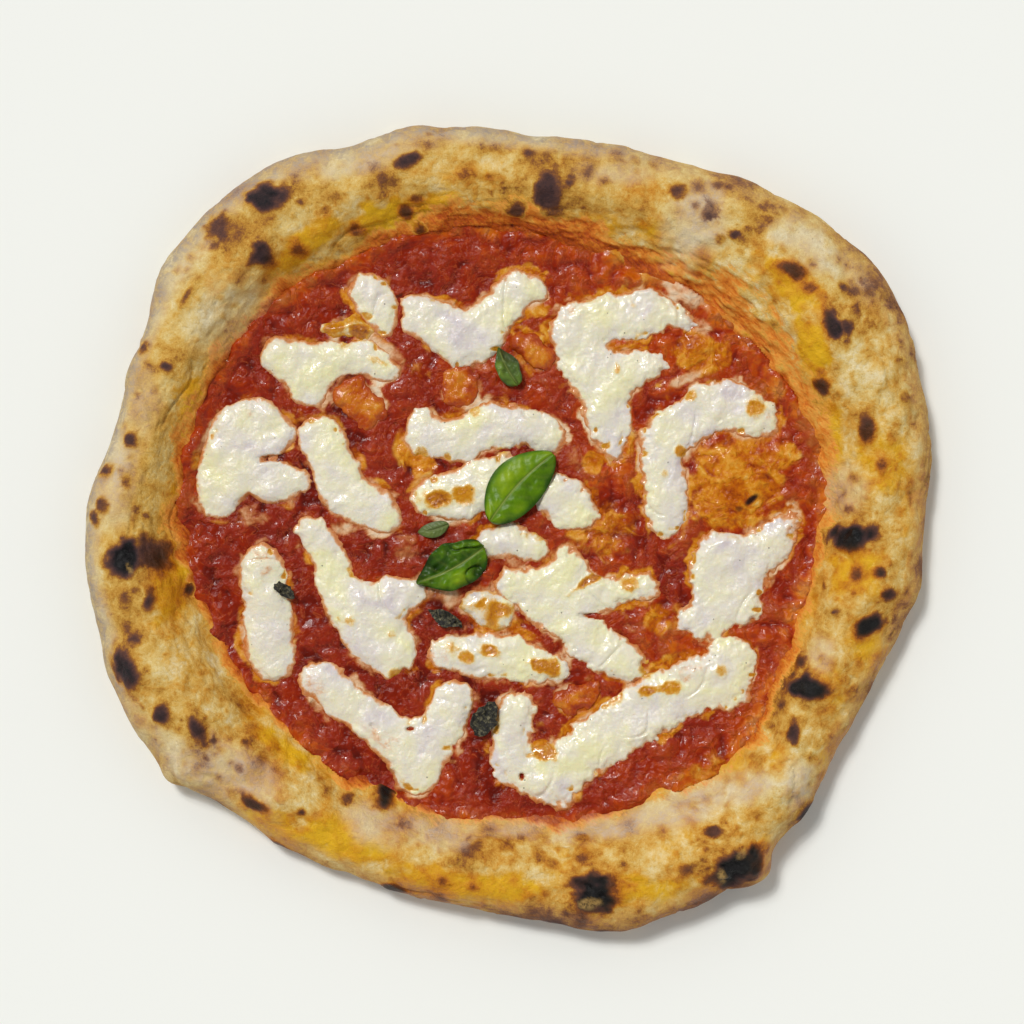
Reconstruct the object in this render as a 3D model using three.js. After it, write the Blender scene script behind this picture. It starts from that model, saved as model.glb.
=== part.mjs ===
// A whole margherita pizza with a high, blistered rim: baked dough, tomato sauce, melted mozzarella,
// tomato pieces and basil. Millimetres, +Z up, the underside on z = 0 and the centre of the outline's box
// on the Z axis. Angles run anticlockwise from +X, seen from above.
import * as THREE from "three";

// Driving heights, from the table up
const FLOOR_HEIGHT = 3.4;
const REST_GAP = 0.3;
const SAUCE_DEPTH = 1.5;
const CHEESE_DEPTH = 2.7;
const TOMATO_DEPTH = 3.6;
const SAUCE_TOP = FLOOR_HEIGHT + REST_GAP + SAUCE_DEPTH;
const TOPPING_BOTTOM = SAUCE_TOP + REST_GAP;

// The raised rim, one value for every 15 degrees
const RIM_OUTER = [
  159, 165.5, 171, 167, 156.5, 150, 149.5, 155, 161.5, 164, 156.5, 153,
  159.5, 159.5, 160, 151, 146, 143.5, 147.5, 158, 160, 157, 150, 154,
];
const RIM_INNER = [
  116, 118, 113, 110, 107, 108, 110, 112, 113, 117, 119, 120,
  119, 115, 111, 108, 108, 109, 108, 111, 113, 119, 114, 113,
];
// Crest heights, one value for every 30 degrees
const RIM_HEIGHT = [24, 26, 21, 20, 23, 21, 23, 24, 20, 21, 25, 22];
const CREST_SHARE = 0.56;
const BELLY_SHARE = 0.4;
const SLOPE_FULLNESS = 0.4;
const FOOT_INSET = 9;
const RIM_STATIONS = 136;
const SLOPE_STEPS = 6;
const BROW_STEPS = 6;
const UNDER_STEPS = 3;

// Places where the edge was pinched out or torn: angle, reach beyond the outline, half width in degrees
const RIM_PINCHES = [
  { angle: 33, reach: 1.5, spread: 3.5 },
  { angle: 99, reach: 2.2, spread: 5 },
  { angle: 113, reach: -2.5, spread: 4 },
  { angle: 142, reach: 2.5, spread: 3.5 },
  { angle: 217, reach: 4.5, spread: 2.5 },
  { angle: 276, reach: -2, spread: 4 },
  { angle: 289, reach: 0.8, spread: 4 },
  { angle: 306, reach: 7, spread: 2.2 },
  { angle: 351, reach: 2.7, spread: 5 },
];

// Bubbles of the dough that stand out of the rim: place, radius and rise
const RIM_BUBBLES = [
  { x: -143, y: -12, radius: 9, rise: 2.5 },
  { x: -141, y: -54, radius: 9, rise: 1.8 },
  { x: -89, y: 124, radius: 11, rise: 2 },
  { x: -94, y: 102, radius: 8, rise: 1.5 },
  { x: 16, y: 126, radius: 11, rise: 2 },
  { x: 73, y: 112, radius: 14, rise: 2.2 },
  { x: 122, y: 72, radius: 10, rise: 2 },
  { x: 131, y: -5, radius: 10, rise: 2.2 },
  { x: 126, y: -26, radius: 14, rise: 1.8 },
  { x: 113, y: -60, radius: 9, rise: 2 },
  { x: 107, y: -101, radius: 12, rise: 2.4 },
  { x: 85, y: -131, radius: 10, rise: 2.2 },
  { x: 32, y: -137, radius: 11, rise: 2.2 },
  { x: -46, y: -102, radius: 6, rise: 1.5 },
  { x: -118, y: -73, radius: 9, rise: 1.6 },
  { x: -30, y: 138, radius: 12, rise: 1.4 },
];
const RIM_SWELL = 1.1;
const RIM_SWELL_SIZE = 17;

const SAUCE_STATIONS = 84;
const SAUCE_RINGS = 12;
const SAUCE_CLIMB = 3.4;
const SAUCE_LUMP = 1.7;
const SAUCE_LUMP_SIZE = 9;
// Dough bubbles under the sauce: place, radius and rise
const SAUCE_BUBBLES = [
  { x: 86, y: 17, radius: 14, rise: 2.6 },
  { x: 105, y: 27, radius: 5, rise: 1.2 },
  { x: 72, y: 66, radius: 6, rise: 1.2 },
];

// Tomato pieces as strands of touching discs: [x, y, radius]
const TOMATO_PIECES = {
  tomato_piece_left: [[[-59, 50, 7.5], [-53, 45, 7]]],
  tomato_piece_top: [[[-17, 55, 5.5], [-17, 51, 6]]],
  tomato_piece_by_basil: [[[6, 69, 4.5], [13, 65, 5.5]]],
  tomato_piece_bottom: [[[25, -65, 5.5], [30, -63, 5.5]]],
};

// Torn mozzarella, melted where it was dropped. Each patch is one or more strands of touching discs.
const CHEESE_PATCHES = {
  mozzarella_top_left: [[[-52, 88.5, 7.5], [-47.5, 82, 6.5], [-45, 76, 3.5]]],
  mozzarella_top: [
    [[-35, 81, 7.5], [-27, 77.5, 8.5], [-18, 71.5, 9.5], [-10, 72, 9], [-3, 81, 8.5], [5, 90, 7.5], [12, 89, 4.5]],
  ],
  mozzarella_left_upper: [
    [[-85, 65, 7.5], [-77, 60, 8], [-75, 51.5, 7]],
    [[-76, 62, 7], [-64, 64, 6.5], [-54, 64.5, 6], [-46, 60.5, 5.5]],
  ],
  mozzarella_browned_upper: [[[-66, 75, 3.5], [-58, 76.5, 4], [-52, 73, 2.5]]],
  mozzarella_left: [
    [[-105, 39, 8], [-96, 39, 10], [-88, 35, 7.5]],
    [[-106, 34, 7.5], [-109, 22, 7.5], [-109, 13.5, 9]],
    [[-109, 16, 8], [-98, 19, 7.2], [-88, 17, 7.8], [-79, 18, 5]],
  ],
  mozzarella_left_long: [[[-70, 34, 8], [-66, 24, 8.5], [-60, 13, 9], [-52, 7.5, 8.5], [-46, 3, 5]]],
  mozzarella_left_lower: [
    [[-73, -1.5, 5.5], [-67, -10, 6], [-65, -21, 7.5], [-58, -32, 8.5], [-50, -42, 9], [-43, -47, 9]],
    [[-50, -36, 8], [-43, -26, 7], [-36, -25, 6]],
  ],
  mozzarella_far_left: [[[-92.5, -16, 8], [-91, -32, 9.5], [-90, -50, 9.5]]],
  mozzarella_bottom_left: [
    [[-70, -59, 7.5], [-60, -68, 7.5], [-48, -76, 7.5], [-37, -85, 8]],
    [[-20, -66, 7.5], [-26, -78, 8], [-31, -90, 8], [-33, -98, 6.5]],
  ],
  mozzarella_centre_upper: [
    [[-33, 40, 5.5], [-31, 34, 7], [-18, 33, 8.5], [-4, 39, 9], [8, 37.5, 8], [18, 33.5, 5.5]],
  ],
  mozzarella_centre: [[[-28, 11, 7], [-18, 11, 9.5], [-8, 16, 10], [1, 20, 8.5]]],
  mozzarella_right_of_centre: [[[17, 13, 6.5], [23, 8, 8.5], [29, 6, 6.5]]],
  mozzarella_below_centre: [[[-6, -6.5, 6], [4, -5, 6], [12, -9, 5]]],
  mozzarella_right_upper: [
    [[26, 80, 6], [38, 79.5, 8.5], [52, 81, 9.5], [63, 84, 7.5], [69, 79, 4]],
    [[22, 76, 6], [26, 66, 8.5], [35, 57, 9.5], [48, 60, 6.5], [59, 61.5, 3]],
    [[36, 57, 9], [38, 46, 8], [40, 37, 7], [42, 27, 4]],
  ],
  mozzarella_right: [
    [[95, 42, 8], [85, 47.5, 8], [75, 45, 9], [65, 38, 9], [58.5, 28, 9], [60, 16, 9], [61, 3, 7.5]],
  ],
  mozzarella_right_lower: [
    [[82, -12, 9.5], [93, -13, 10], [102, -5, 7.5], [107, 1, 5]],
    [[84, -16, 11], [80, -28, 10], [89, -30, 8], [73, -36, 7]],
  ],
  mozzarella_diagonal: [
    [[2, -22, 5.5], [11, -24, 7], [19, -31, 9], [28, -40, 8.5], [38, -48, 8], [47, -52, 6.5]],
    [[23, -14, 7], [14, -22, 7]],
    [[24, -27, 5], [34, -26, 6], [45, -25, 6], [53, -21.5, 5]],
  ],
  mozzarella_sweep: [
    [[58, -66, 8], [70, -61, 10], [81, -58.5, 12], [86, -50, 8.5]],
    [[60, -67, 8], [48, -73, 10.5], [38, -80, 10.5], [28, -87, 9.5], [20, -94, 9], [19, -102, 5]],
    [[20, -94, 7.5], [10, -95, 7], [1, -89, 7], [1, -79, 7.5], [5, -70, 7.5]],
  ],
  mozzarella_lower: [[[-24, -48, 6], [-12, -49, 8], [2, -50, 8.5], [14, -53, 6.5], [21, -56, 4]]],
  mozzarella_browned_lower: [[[-11, -29, 5], [-3, -32, 6.5]]],
};
const STRAND_BLEND = 2.5;
const PATCH_GAP = 0.9;
const PATCH_RIM_GAP = 2;
const PATCH_CELL = 4.15;
const PATCH_EDGE = 0.8;
const PATCH_SHOULDER = 5;
const PATCH_WAVER = 0.8;
const PATCH_WAVER_SIZE = 7;
const SURFACE_RIPPLE = 0.35;

// Basil leaves: centre, size along and across the midrib, heading of the tip, cupping, crumpling, thickness
const BASIL = {
  basil_leaf_large: {
    x: 5.5, y: 15, length: 35, width: 20, heading: 47, cup: 2.4, crumple: 0.5, sheet: 0.6,
  },
  basil_leaf_left: {
    x: -21.5, y: -14.5, length: 29, width: 18, heading: 208, cup: 2.2, crumple: 1.0, sheet: 0.6,
  },
  basil_sliver_top: {
    x: 0.5, y: 61, length: 16, width: 8, heading: 118, cup: 2.2, crumple: 0.5, sheet: 0.6,
  },
  basil_wilted: {
    x: -28, y: -0.5, length: 12, width: 6, heading: 195, cup: 0.8, crumple: 0.4, sheet: 0.6,
  },
  basil_charred_left: {
    x: -84, y: -24, length: 10, width: 5.5, heading: 145, cup: 0.9, crumple: 0.6, sheet: 0.9,
  },
  basil_charred_middle: {
    x: -23, y: -35, length: 15, width: 5.5, heading: 155, cup: 1.0, crumple: 0.6, sheet: 0.9,
  },
  basil_charred_bottom: {
    x: -7.5, y: -73, length: 15, width: 9.5, heading: 58, cup: 1.2, crumple: 0.7, sheet: 0.9,
  },
};
const LEAF_STEP = 3;
const LEAF_LANE = 3.4;

const LOOKS = {
  crust: { color: 0xd9b878, roughness: 0.8, metalness: 0 },
  sauce: { color: 0xa83a1c, roughness: 0.3, metalness: 0 },
  mozzarella: { color: 0xefe9d2, roughness: 0.35, metalness: 0 },
  tomato: { color: 0xc2602a, roughness: 0.3, metalness: 0 },
  basil: { color: 0x3f7f22, roughness: 0.45, metalness: 0 },
  charred: { color: 0x25231c, roughness: 0.6, metalness: 0 },
};

const radians = THREE.MathUtils.degToRad;
const mix = THREE.MathUtils.lerp;
const smooth = THREE.MathUtils.smoothstep;

// A closed ring of evenly spaced values, read at any angle through a cubic.
function around(values, degrees) {
  const place = ((((degrees % 360) + 360) % 360) / 360) * values.length;
  const i = Math.floor(place);
  const t = place - i;
  const [a, b, c, d] = [-1, 0, 1, 2].map((k) => values[(i + k + values.length) % values.length]);
  return b + 0.5 * t * (c - a + t * (2 * a - 5 * b + 4 * c - d + t * (3 * (b - c) + d - a)));
}

// Smooth random hills between -1 and 1, about one for each cell, the same on every run.
function hills(x, y, cell, seed) {
  const column = Math.floor(x / cell);
  const row = Math.floor(y / cell);
  const across = smooth(x / cell - column, 0, 1);
  const up = smooth(y / cell - row, 0, 1);
  const corner = (i, j) => 2 * seeded((column + i) * 127.1 + (row + j) * 311.7 + seed * 74.7) - 1;
  return mix(mix(corner(0, 0), corner(1, 0), across), mix(corner(0, 1), corner(1, 1), across), up);
}

function seeded(number) {
  const large = Math.sin(number) * 43758.5453;
  return large - Math.floor(large);
}

function bubbleRise(bubbles, x, y) {
  return bubbles.reduce(
    (sum, b) => sum + b.rise * Math.exp(-1.4 * ((x - b.x) ** 2 + (y - b.y) ** 2) / b.radius ** 2), 0);
}

// Collects triangles and turns them into an indexed geometry.
class Surface {
  constructor() {
    this.points = [];
    this.faces = [];
  }
  point(x, y, z) {
    return this.points.push([x, y, z]) - 1;
  }
  triangle(a, b, c) {
    this.faces.push([a, b, c]);
  }
  quad(a, b, c, d) {
    this.triangle(a, b, c);
    this.triangle(a, c, d);
  }
  geometry() {
    const made = new THREE.BufferGeometry();
    made.setAttribute("position", new THREE.Float32BufferAttribute(this.points.flat(), 3));
    made.setIndex(this.faces.flat());
    made.computeVertexNormals();
    return made;
  }
}

// Joins rings of the same number of points, each ring outside the one before it as the face is seen.
function joinRings(surface, rings) {
  for (let k = 0; k + 1 < rings.length; k++) {
    const [inner, outer] = [rings[k], rings[k + 1]];
    for (let i = 0; i < inner.length; i++) {
      const next = (i + 1) % inner.length;
      surface.quad(inner[i], outer[i], outer[next], inner[next]);
    }
  }
}

function fan(surface, centre, ring, upwards) {
  for (let i = 0; i < ring.length; i++) {
    const next = (i + 1) % ring.length;
    if (upwards) surface.triangle(centre, ring[i], ring[next]);
    else surface.triangle(centre, ring[next], ring[i]);
  }
}

function rimOuter(degrees) {
  return RIM_PINCHES.reduce((radius, pinch) => {
    const away = ((degrees - pinch.angle + 540) % 360) - 180;
    return radius + pinch.reach * Math.exp(-((away / pinch.spread) ** 2));
  }, around(RIM_OUTER, degrees));
}

// The rim cut through at one angle: [radius, height] from the floor's edge over the crest to the foot.
function rimSection(degrees) {
  const inner = around(RIM_INNER, degrees);
  const outer = rimOuter(degrees);
  const height = around(RIM_HEIGHT, degrees);
  const crest = mix(inner, outer, CREST_SHARE);
  const belly = height * BELLY_SHARE;
  const section = [];
  for (let i = 0; i <= SLOPE_STEPS; i++) {
    const t = i / SLOPE_STEPS;
    const rise = mix(smooth(t, 0, 1), Math.sin((t * Math.PI) / 2), SLOPE_FULLNESS);
    section.push([mix(inner, crest, t), mix(FLOOR_HEIGHT, height, rise)]);
  }
  for (let i = 1; i <= BROW_STEPS; i++) {
    const turn = (i / BROW_STEPS) * (Math.PI / 2);
    section.push([crest + (outer - crest) * Math.sin(turn), belly + (height - belly) * Math.cos(turn)]);
  }
  for (let i = 1; i <= UNDER_STEPS; i++) {
    const turn = (i / UNDER_STEPS) * (Math.PI / 2);
    section.push([outer - FOOT_INSET * (1 - Math.cos(turn)), belly * (1 - Math.sin(turn))]);
  }
  return section;
}

// Lifts a section's points by the dough's swelling and its bubbles, and leaves the foot and the belly.
function swollen(section, degrees) {
  const crest = section[SLOPE_STEPS][1];
  const belly = crest * BELLY_SHARE;
  return section.map(([radius, height], i) => {
    const x = radius * Math.cos(radians(degrees));
    const y = radius * Math.sin(radians(degrees));
    const free = i <= SLOPE_STEPS ? smooth(i, 0, 3) : smooth(height, belly, crest);
    const swell = RIM_SWELL * hills(x, y, RIM_SWELL_SIZE, 3);
    return [radius, height + free * (swell + bubbleRise(RIM_BUBBLES, x, y))];
  });
}

function rimAt(degrees) {
  return swollen(rimSection(degrees), degrees);
}

function crustGeometry() {
  const surface = new Surface();
  const sections = [];
  for (let i = 0; i < RIM_STATIONS; i++) sections.push(rimAt((i * 360) / RIM_STATIONS));
  const rings = sections[0].map((_, k) =>
    sections.map((section, i) => {
      const turn = radians((i * 360) / RIM_STATIONS);
      const [radius, height] = section[k];
      return surface.point(radius * Math.cos(turn), radius * Math.sin(turn), height);
    }));
  joinRings(surface, rings);
  fan(surface, surface.point(0, 0, FLOOR_HEIGHT), rings[0], true);
  fan(surface, surface.point(0, 0, 0), rings[rings.length - 1], false);
  return surface.geometry();
}

// How far a point is outside a strand of discs whose radius changes evenly from one to the next.
function strandDistance(strand, x, y) {
  let nearest = Infinity;
  for (let i = 0; i + 1 < strand.length; i++) {
    const [ax, ay, ar] = strand[i];
    const [bx, by, br] = strand[i + 1];
    const [dx, dy] = [bx - ax, by - ay];
    const t = THREE.MathUtils.clamp(((x - ax) * dx + (y - ay) * dy) / (dx * dx + dy * dy), 0, 1);
    nearest = Math.min(nearest, Math.hypot(x - ax - t * dx, y - ay - t * dy) - mix(ar, br, t));
  }
  return nearest;
}

// A melted patch: how far outside it a point is, negative inside, with a wavering edge.
function patchDistance(strands, x, y) {
  const joined = strands.reduce((sum, s) => sum + Math.exp(-strandDistance(s, x, y) / STRAND_BLEND), 0);
  return -STRAND_BLEND * Math.log(joined) + PATCH_WAVER * hills(x, y, PATCH_WAVER_SIZE, 11);
}

// Everything that lies in the sauce, in order: an earlier piece keeps its shape and a later one gives way.
const pieces = [
  ...Object.entries(TOMATO_PIECES).map(([name, strands]) => ({ name, strands, depth: TOMATO_DEPTH })),
  ...Object.entries(CHEESE_PATCHES).map(([name, strands]) => ({ name, strands, depth: CHEESE_DEPTH })),
];
pieces.forEach((piece, k) => {
  piece.distance = (x, y) => {
    const rim = around(RIM_INNER, THREE.MathUtils.radToDeg(Math.atan2(y, x))) - PATCH_RIM_GAP;
    const alone = Math.max(patchDistance(piece.strands, x, y), Math.hypot(x, y) - rim);
    return pieces.slice(0, k).reduce((own, other) => Math.max(own, PATCH_GAP - other.distance(x, y)), alone);
  };
  const discs = piece.strands.flat();
  piece.box = {
    x: [Math.min(...discs.map((d) => d[0] - d[2])) - 4, Math.max(...discs.map((d) => d[0] + d[2])) + 4],
    y: [Math.min(...discs.map((d) => d[1] - d[2])) - 4, Math.max(...discs.map((d) => d[1] + d[2])) + 4],
  };
});
// A piece is only asked about points near it: further off, the distance to its box is enough.
pieces.forEach((piece) => {
  const exact = piece.distance;
  piece.distance = (x, y) => {
    const dx = Math.max(piece.box.x[0] - x, 0, x - piece.box.x[1]);
    const dy = Math.max(piece.box.y[0] - y, 0, y - piece.box.y[1]);
    return dx + dy > 0 ? 4 + Math.hypot(dx, dy) : exact(x, y);
  };
});

function pieceTop(piece, x, y, inside) {
  const shoulder = Math.min(inside / PATCH_SHOULDER, 1);
  const round = Math.sqrt(1 - (1 - shoulder) ** 2);
  const ripple = SURFACE_RIPPLE * round * hills(x, y, 6, 29);
  return TOPPING_BOTTOM + mix(PATCH_EDGE, piece.depth, round) + ripple;
}

function sauceTop(x, y) {
  const clear = pieces.reduce((least, piece) => Math.min(least, piece.distance(x, y)), Infinity);
  const lumps = SAUCE_LUMP * (0.5 + 0.5 * hills(x, y, SAUCE_LUMP_SIZE, 5));
  return SAUCE_TOP + smooth(clear, 3.5, 12) * lumps + smooth(clear, 3, 8) * bubbleRise(SAUCE_BUBBLES, x, y);
}

// The sauce fills the floor, and its edge leans on the foot of the rim.
function sauceGeometry() {
  const surface = new Surface();
  const turns = Array.from({ length: SAUCE_STATIONS }, (_, i) => (i * 360) / SAUCE_STATIONS);
  const ring = (radiusAt, heightAt) =>
    turns.map((turn) => {
      const radius = radiusAt(turn);
      const [x, y] = [radius * Math.cos(radians(turn)), radius * Math.sin(radians(turn))];
      return surface.point(x, y, heightAt(x, y, turn));
    });
  const floorEdge = (turn) => rimAt(turn)[0][0];
  const rings = [];
  for (let k = 1; k <= SAUCE_RINGS; k++) {
    const share = k / SAUCE_RINGS;
    rings.push(ring((turn) => share * (floorEdge(turn) - 1), sauceTop));
  }
  // At the rim's first step the section is a straight facet, so its height there is a simple share.
  rings.push(ring((turn) => floorEdge(turn) + SAUCE_CLIMB, (x, y, turn) => {
    const [foot, step] = rimAt(turn);
    const share = SAUCE_CLIMB / (step[0] - foot[0]);
    return Math.max(mix(foot[1], step[1], share) + 2 * REST_GAP, SAUCE_TOP - 0.2);
  }));
  rings.push(ring((turn) => floorEdge(turn) - 0.6, () => FLOOR_HEIGHT + REST_GAP));
  joinRings(surface, rings);
  fan(surface, surface.point(0, 0, sauceTop(0, 0)), rings[0], true);
  fan(surface, surface.point(0, 0, FLOOR_HEIGHT + REST_GAP), rings[rings.length - 1], false);
  return surface.geometry();
}

// Cuts a grid along the patch's edge, and gives the covered polygons and the points that they share.
function coveredCells(piece) {
  const columns = Math.ceil((piece.box.x[1] - piece.box.x[0]) / PATCH_CELL);
  const rows = Math.ceil((piece.box.y[1] - piece.box.y[0]) / PATCH_CELL);
  const place = (i, j) => [piece.box.x[0] + i * PATCH_CELL, piece.box.y[0] + j * PATCH_CELL];
  const points = new Map();
  const inside = (i, j) => piece.distance(...place(i, j)) < 0;
  const corner = (i, j) => {
    const key = `${i},${j}`;
    if (!points.has(key)) points.set(key, [...place(i, j), -piece.distance(...place(i, j))]);
    return key;
  };
  const crossing = (i, j, k, l) => {
    const key = i < k || j < l ? `${i},${j}-${k},${l}` : `${k},${l}-${i},${j}`;
    if (points.has(key)) return key;
    const [from, to] = inside(i, j) ? [place(i, j), place(k, l)] : [place(k, l), place(i, j)];
    let [low, high] = [0, 1];
    for (let step = 0; step < 12; step++) {
      const middle = (low + high) / 2;
      const out = piece.distance(mix(from[0], to[0], middle), mix(from[1], to[1], middle)) >= 0;
      [low, high] = out ? [low, middle] : [middle, high];
    }
    const share = THREE.MathUtils.clamp(low, 0.15, 0.85);
    points.set(key, [mix(from[0], to[0], share), mix(from[1], to[1], share), 0]);
    return key;
  };
  const polygons = [];
  for (let i = 0; i < columns; i++) {
    for (let j = 0; j < rows; j++) {
      const corners = [[i, j], [i + 1, j], [i + 1, j + 1], [i, j + 1]];
      const polygon = [];
      corners.forEach((here, k) => {
        const next = corners[(k + 1) % 4];
        if (inside(...here)) polygon.push(corner(...here));
        if (inside(...here) !== inside(...next)) polygon.push(crossing(...here, ...next));
      });
      if (polygon.length) polygons.push(polygon);
    }
  }
  return { polygons, points };
}

// The closed outlines of the covered polygons: the sides that only one polygon has, end to end.
function outlines(polygons) {
  const sides = new Map();
  for (const polygon of polygons) {
    polygon.forEach((from, k) => sides.set(`${from}>${polygon[(k + 1) % polygon.length]}`, true));
  }
  const next = new Map();
  for (const side of sides.keys()) {
    const [from, to] = side.split(">");
    if (!sides.has(`${to}>${from}`)) next.set(from, to);
  }
  const loops = [];
  while (next.size) {
    const loop = [];
    let here = next.keys().next().value;
    while (next.has(here)) {
      const onward = next.get(here);
      next.delete(here);
      loop.push(here);
      here = onward;
    }
    loops.push(loop);
  }
  return loops;
}

// A melted piece: a domed top with a rounded shoulder, a low wall and a flat underside.
function pieceGeometry(piece) {
  const { polygons, points } = coveredCells(piece);
  const surface = new Surface();
  const top = new Map();
  for (const [key, [x, y, depth]] of points) top.set(key, surface.point(x, y, pieceTop(piece, x, y, depth)));
  for (const polygon of polygons) {
    for (let k = 1; k + 1 < polygon.length; k++) {
      surface.triangle(...[polygon[0], polygon[k], polygon[k + 1]].map((key) => top.get(key)));
    }
  }
  const flat = (loop) => loop.map((key) => new THREE.Vector2(points.get(key)[0], points.get(key)[1]));
  const loops = outlines(polygons).sort(
    (a, b) => Math.abs(THREE.ShapeUtils.area(flat(b))) - Math.abs(THREE.ShapeUtils.area(flat(a))));
  const under = loops.map((loop) =>
    loop.map((key) => surface.point(points.get(key)[0], points.get(key)[1], TOPPING_BOTTOM)));
  loops.forEach((loop, n) =>
    loop.forEach((key, k) => {
      const on = (k + 1) % loop.length;
      surface.quad(top.get(key), under[n][k], under[n][on], top.get(loop[on]));
    }));
  const below = under.flat();
  for (const [a, b, c] of THREE.ShapeUtils.triangulateShape(flat(loops[0]), loops.slice(1).map(flat))) {
    surface.triangle(below[a], below[c], below[b]);
  }
  return surface.geometry();
}

// The highest surface under a point of the toppings.
function toppingsTop(x, y) {
  const under = pieces.find((piece) => piece.distance(x, y) < 0);
  return under ? pieceTop(under, x, y, -under.distance(x, y)) : sauceTop(x, y);
}

// One face of a leaf, before it is dropped: along the midrib to its tip, across it, and its height.
function leafPoint(leaf, along, across) {
  const half = (leaf.width / 2) * Math.sin(Math.PI * mix(0.025, 0.98, along) ** 0.88) ** 0.8;
  const u = (along - 0.5) * leaf.length;
  const v = across * half;
  const fold = leaf.cup * (Math.abs(across) ** 1.5 * (half / leaf.width) * 2 + (2 * along - 1) ** 2 * 0.35);
  const waves = leaf.crumple * hills(u + 40, v, leaf.width / 3, leaf.length);
  return [u, v, fold + waves];
}

// A thin wavy sheet with both faces split alike, dropped on the toppings under it.
function leafGeometry(leaf) {
  const heading = radians(leaf.heading);
  const placed = ([u, v, height]) => [
    leaf.x + u * Math.cos(heading) - v * Math.sin(heading),
    leaf.y + u * Math.sin(heading) + v * Math.cos(heading),
    height,
  ];
  const steps = Math.max(6, Math.round(leaf.length / LEAF_STEP));
  const lanes = Math.max(4, Math.round(leaf.width / LEAF_LANE));
  const face = [];
  for (let i = 0; i <= steps; i++) {
    for (let j = 0; j <= lanes; j++) face.push(placed(leafPoint(leaf, i / steps, (2 * j) / lanes - 1)));
  }
  const rest = Math.max(...face.map(([x, y, height]) => toppingsTop(x, y) - height)) + REST_GAP;
  const surface = new Surface();
  const lower = face.map(([x, y, height]) => surface.point(x, y, height + rest));
  const upper = face.map(([x, y, height]) => surface.point(x, y, height + rest + leaf.sheet));
  const at = (i, j) => i * (lanes + 1) + j;
  const rim = [];
  for (let j = 0; j < lanes; j++) rim.push(at(0, j));
  for (let i = 0; i < steps; i++) rim.push(at(i, lanes));
  for (let j = lanes; j > 0; j--) rim.push(at(steps, j));
  for (let i = steps; i > 0; i--) rim.push(at(i, 0));
  for (let i = 0; i < steps; i++) {
    for (let j = 0; j < lanes; j++) {
      const cell = [at(i, j), at(i + 1, j), at(i + 1, j + 1), at(i, j + 1)];
      surface.quad(...cell.map((k) => upper[k]));
      surface.quad(...cell.map((k) => lower[k]).reverse());
    }
  }
  rim.forEach((here, k) => {
    const next = rim[(k + 1) % rim.length];
    surface.quad(upper[here], upper[next], lower[next], lower[here]);
  });
  return surface.geometry();
}

const materials = Object.fromEntries(
  Object.entries(LOOKS).map(([name, look]) => [name, new THREE.MeshStandardMaterial(look)]));

function named(name, geometry, material) {
  const mesh = new THREE.Mesh(geometry, material);
  mesh.name = name;
  return mesh;
}

function leafMaterial(name) {
  return name.includes("charred") ? materials.charred : materials.basil;
}

const pizza = new THREE.Group();
const crust = named("crust", crustGeometry(), materials.crust);
pizza.add(crust);
pizza.add(named("sauce", sauceGeometry(), materials.sauce));
for (const piece of pieces) {
  const material = piece.name in TOMATO_PIECES ? materials.tomato : materials.mozzarella;
  pizza.add(named(piece.name, pieceGeometry(piece), material));
}
for (const [name, leaf] of Object.entries(BASIL)) pizza.add(named(name, leafGeometry(leaf), leafMaterial(name)));

// The frame's Z axis goes through the centre of the crust's box.
crust.geometry.computeBoundingBox();
const centre = crust.geometry.boundingBox.getCenter(new THREE.Vector3());
pizza.position.set(-centre.x, -centre.y, 0);

export default pizza;
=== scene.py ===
"""Looks of a whole margherita pizza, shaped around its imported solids; millimetres up to the mesh."""
import itertools
import math

import bpy
import numpy as np
from bpy.props import FloatProperty, IntProperty, PointerProperty
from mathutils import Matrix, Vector
from mathutils.bvhtree import BVHTree
from mathutils.kdtree import KDTree


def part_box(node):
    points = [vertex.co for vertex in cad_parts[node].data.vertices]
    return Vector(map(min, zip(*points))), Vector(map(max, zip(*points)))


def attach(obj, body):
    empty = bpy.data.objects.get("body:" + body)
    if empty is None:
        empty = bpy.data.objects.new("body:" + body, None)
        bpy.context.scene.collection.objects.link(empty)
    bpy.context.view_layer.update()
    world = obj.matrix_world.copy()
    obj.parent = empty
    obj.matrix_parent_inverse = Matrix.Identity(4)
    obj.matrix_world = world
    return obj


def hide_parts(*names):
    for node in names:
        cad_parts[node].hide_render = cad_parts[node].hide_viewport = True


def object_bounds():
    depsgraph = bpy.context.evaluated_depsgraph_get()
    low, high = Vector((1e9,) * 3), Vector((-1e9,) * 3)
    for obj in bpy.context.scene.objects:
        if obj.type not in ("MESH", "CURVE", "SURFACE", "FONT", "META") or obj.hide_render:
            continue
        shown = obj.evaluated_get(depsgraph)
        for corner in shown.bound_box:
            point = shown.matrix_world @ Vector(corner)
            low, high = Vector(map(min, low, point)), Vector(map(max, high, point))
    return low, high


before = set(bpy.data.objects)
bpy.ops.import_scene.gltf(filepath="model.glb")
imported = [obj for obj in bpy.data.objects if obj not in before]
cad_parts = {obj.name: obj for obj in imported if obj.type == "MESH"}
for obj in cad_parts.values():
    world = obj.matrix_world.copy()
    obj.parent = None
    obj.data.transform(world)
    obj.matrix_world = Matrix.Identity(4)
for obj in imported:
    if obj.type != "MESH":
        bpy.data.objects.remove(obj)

bl_info = {
    "name": "Margherita Pizza",
    "version": (1, 0, 0),
    "blender": (4, 5, 0),
    "location": "View3D > Sidebar > Pizza",
    "description": "Models and finishes a baked margherita pizza around its solids",
    "category": "Object",
}

MM = 0.001
CAD_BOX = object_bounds()
# How far outside an outline depths are still told apart
OUTSIDE_REACH = 10
# How far from its edge a topping has its full height, and how deep its gaps are
SHOULDER = 6
GAP_DEPTH = 6
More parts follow.
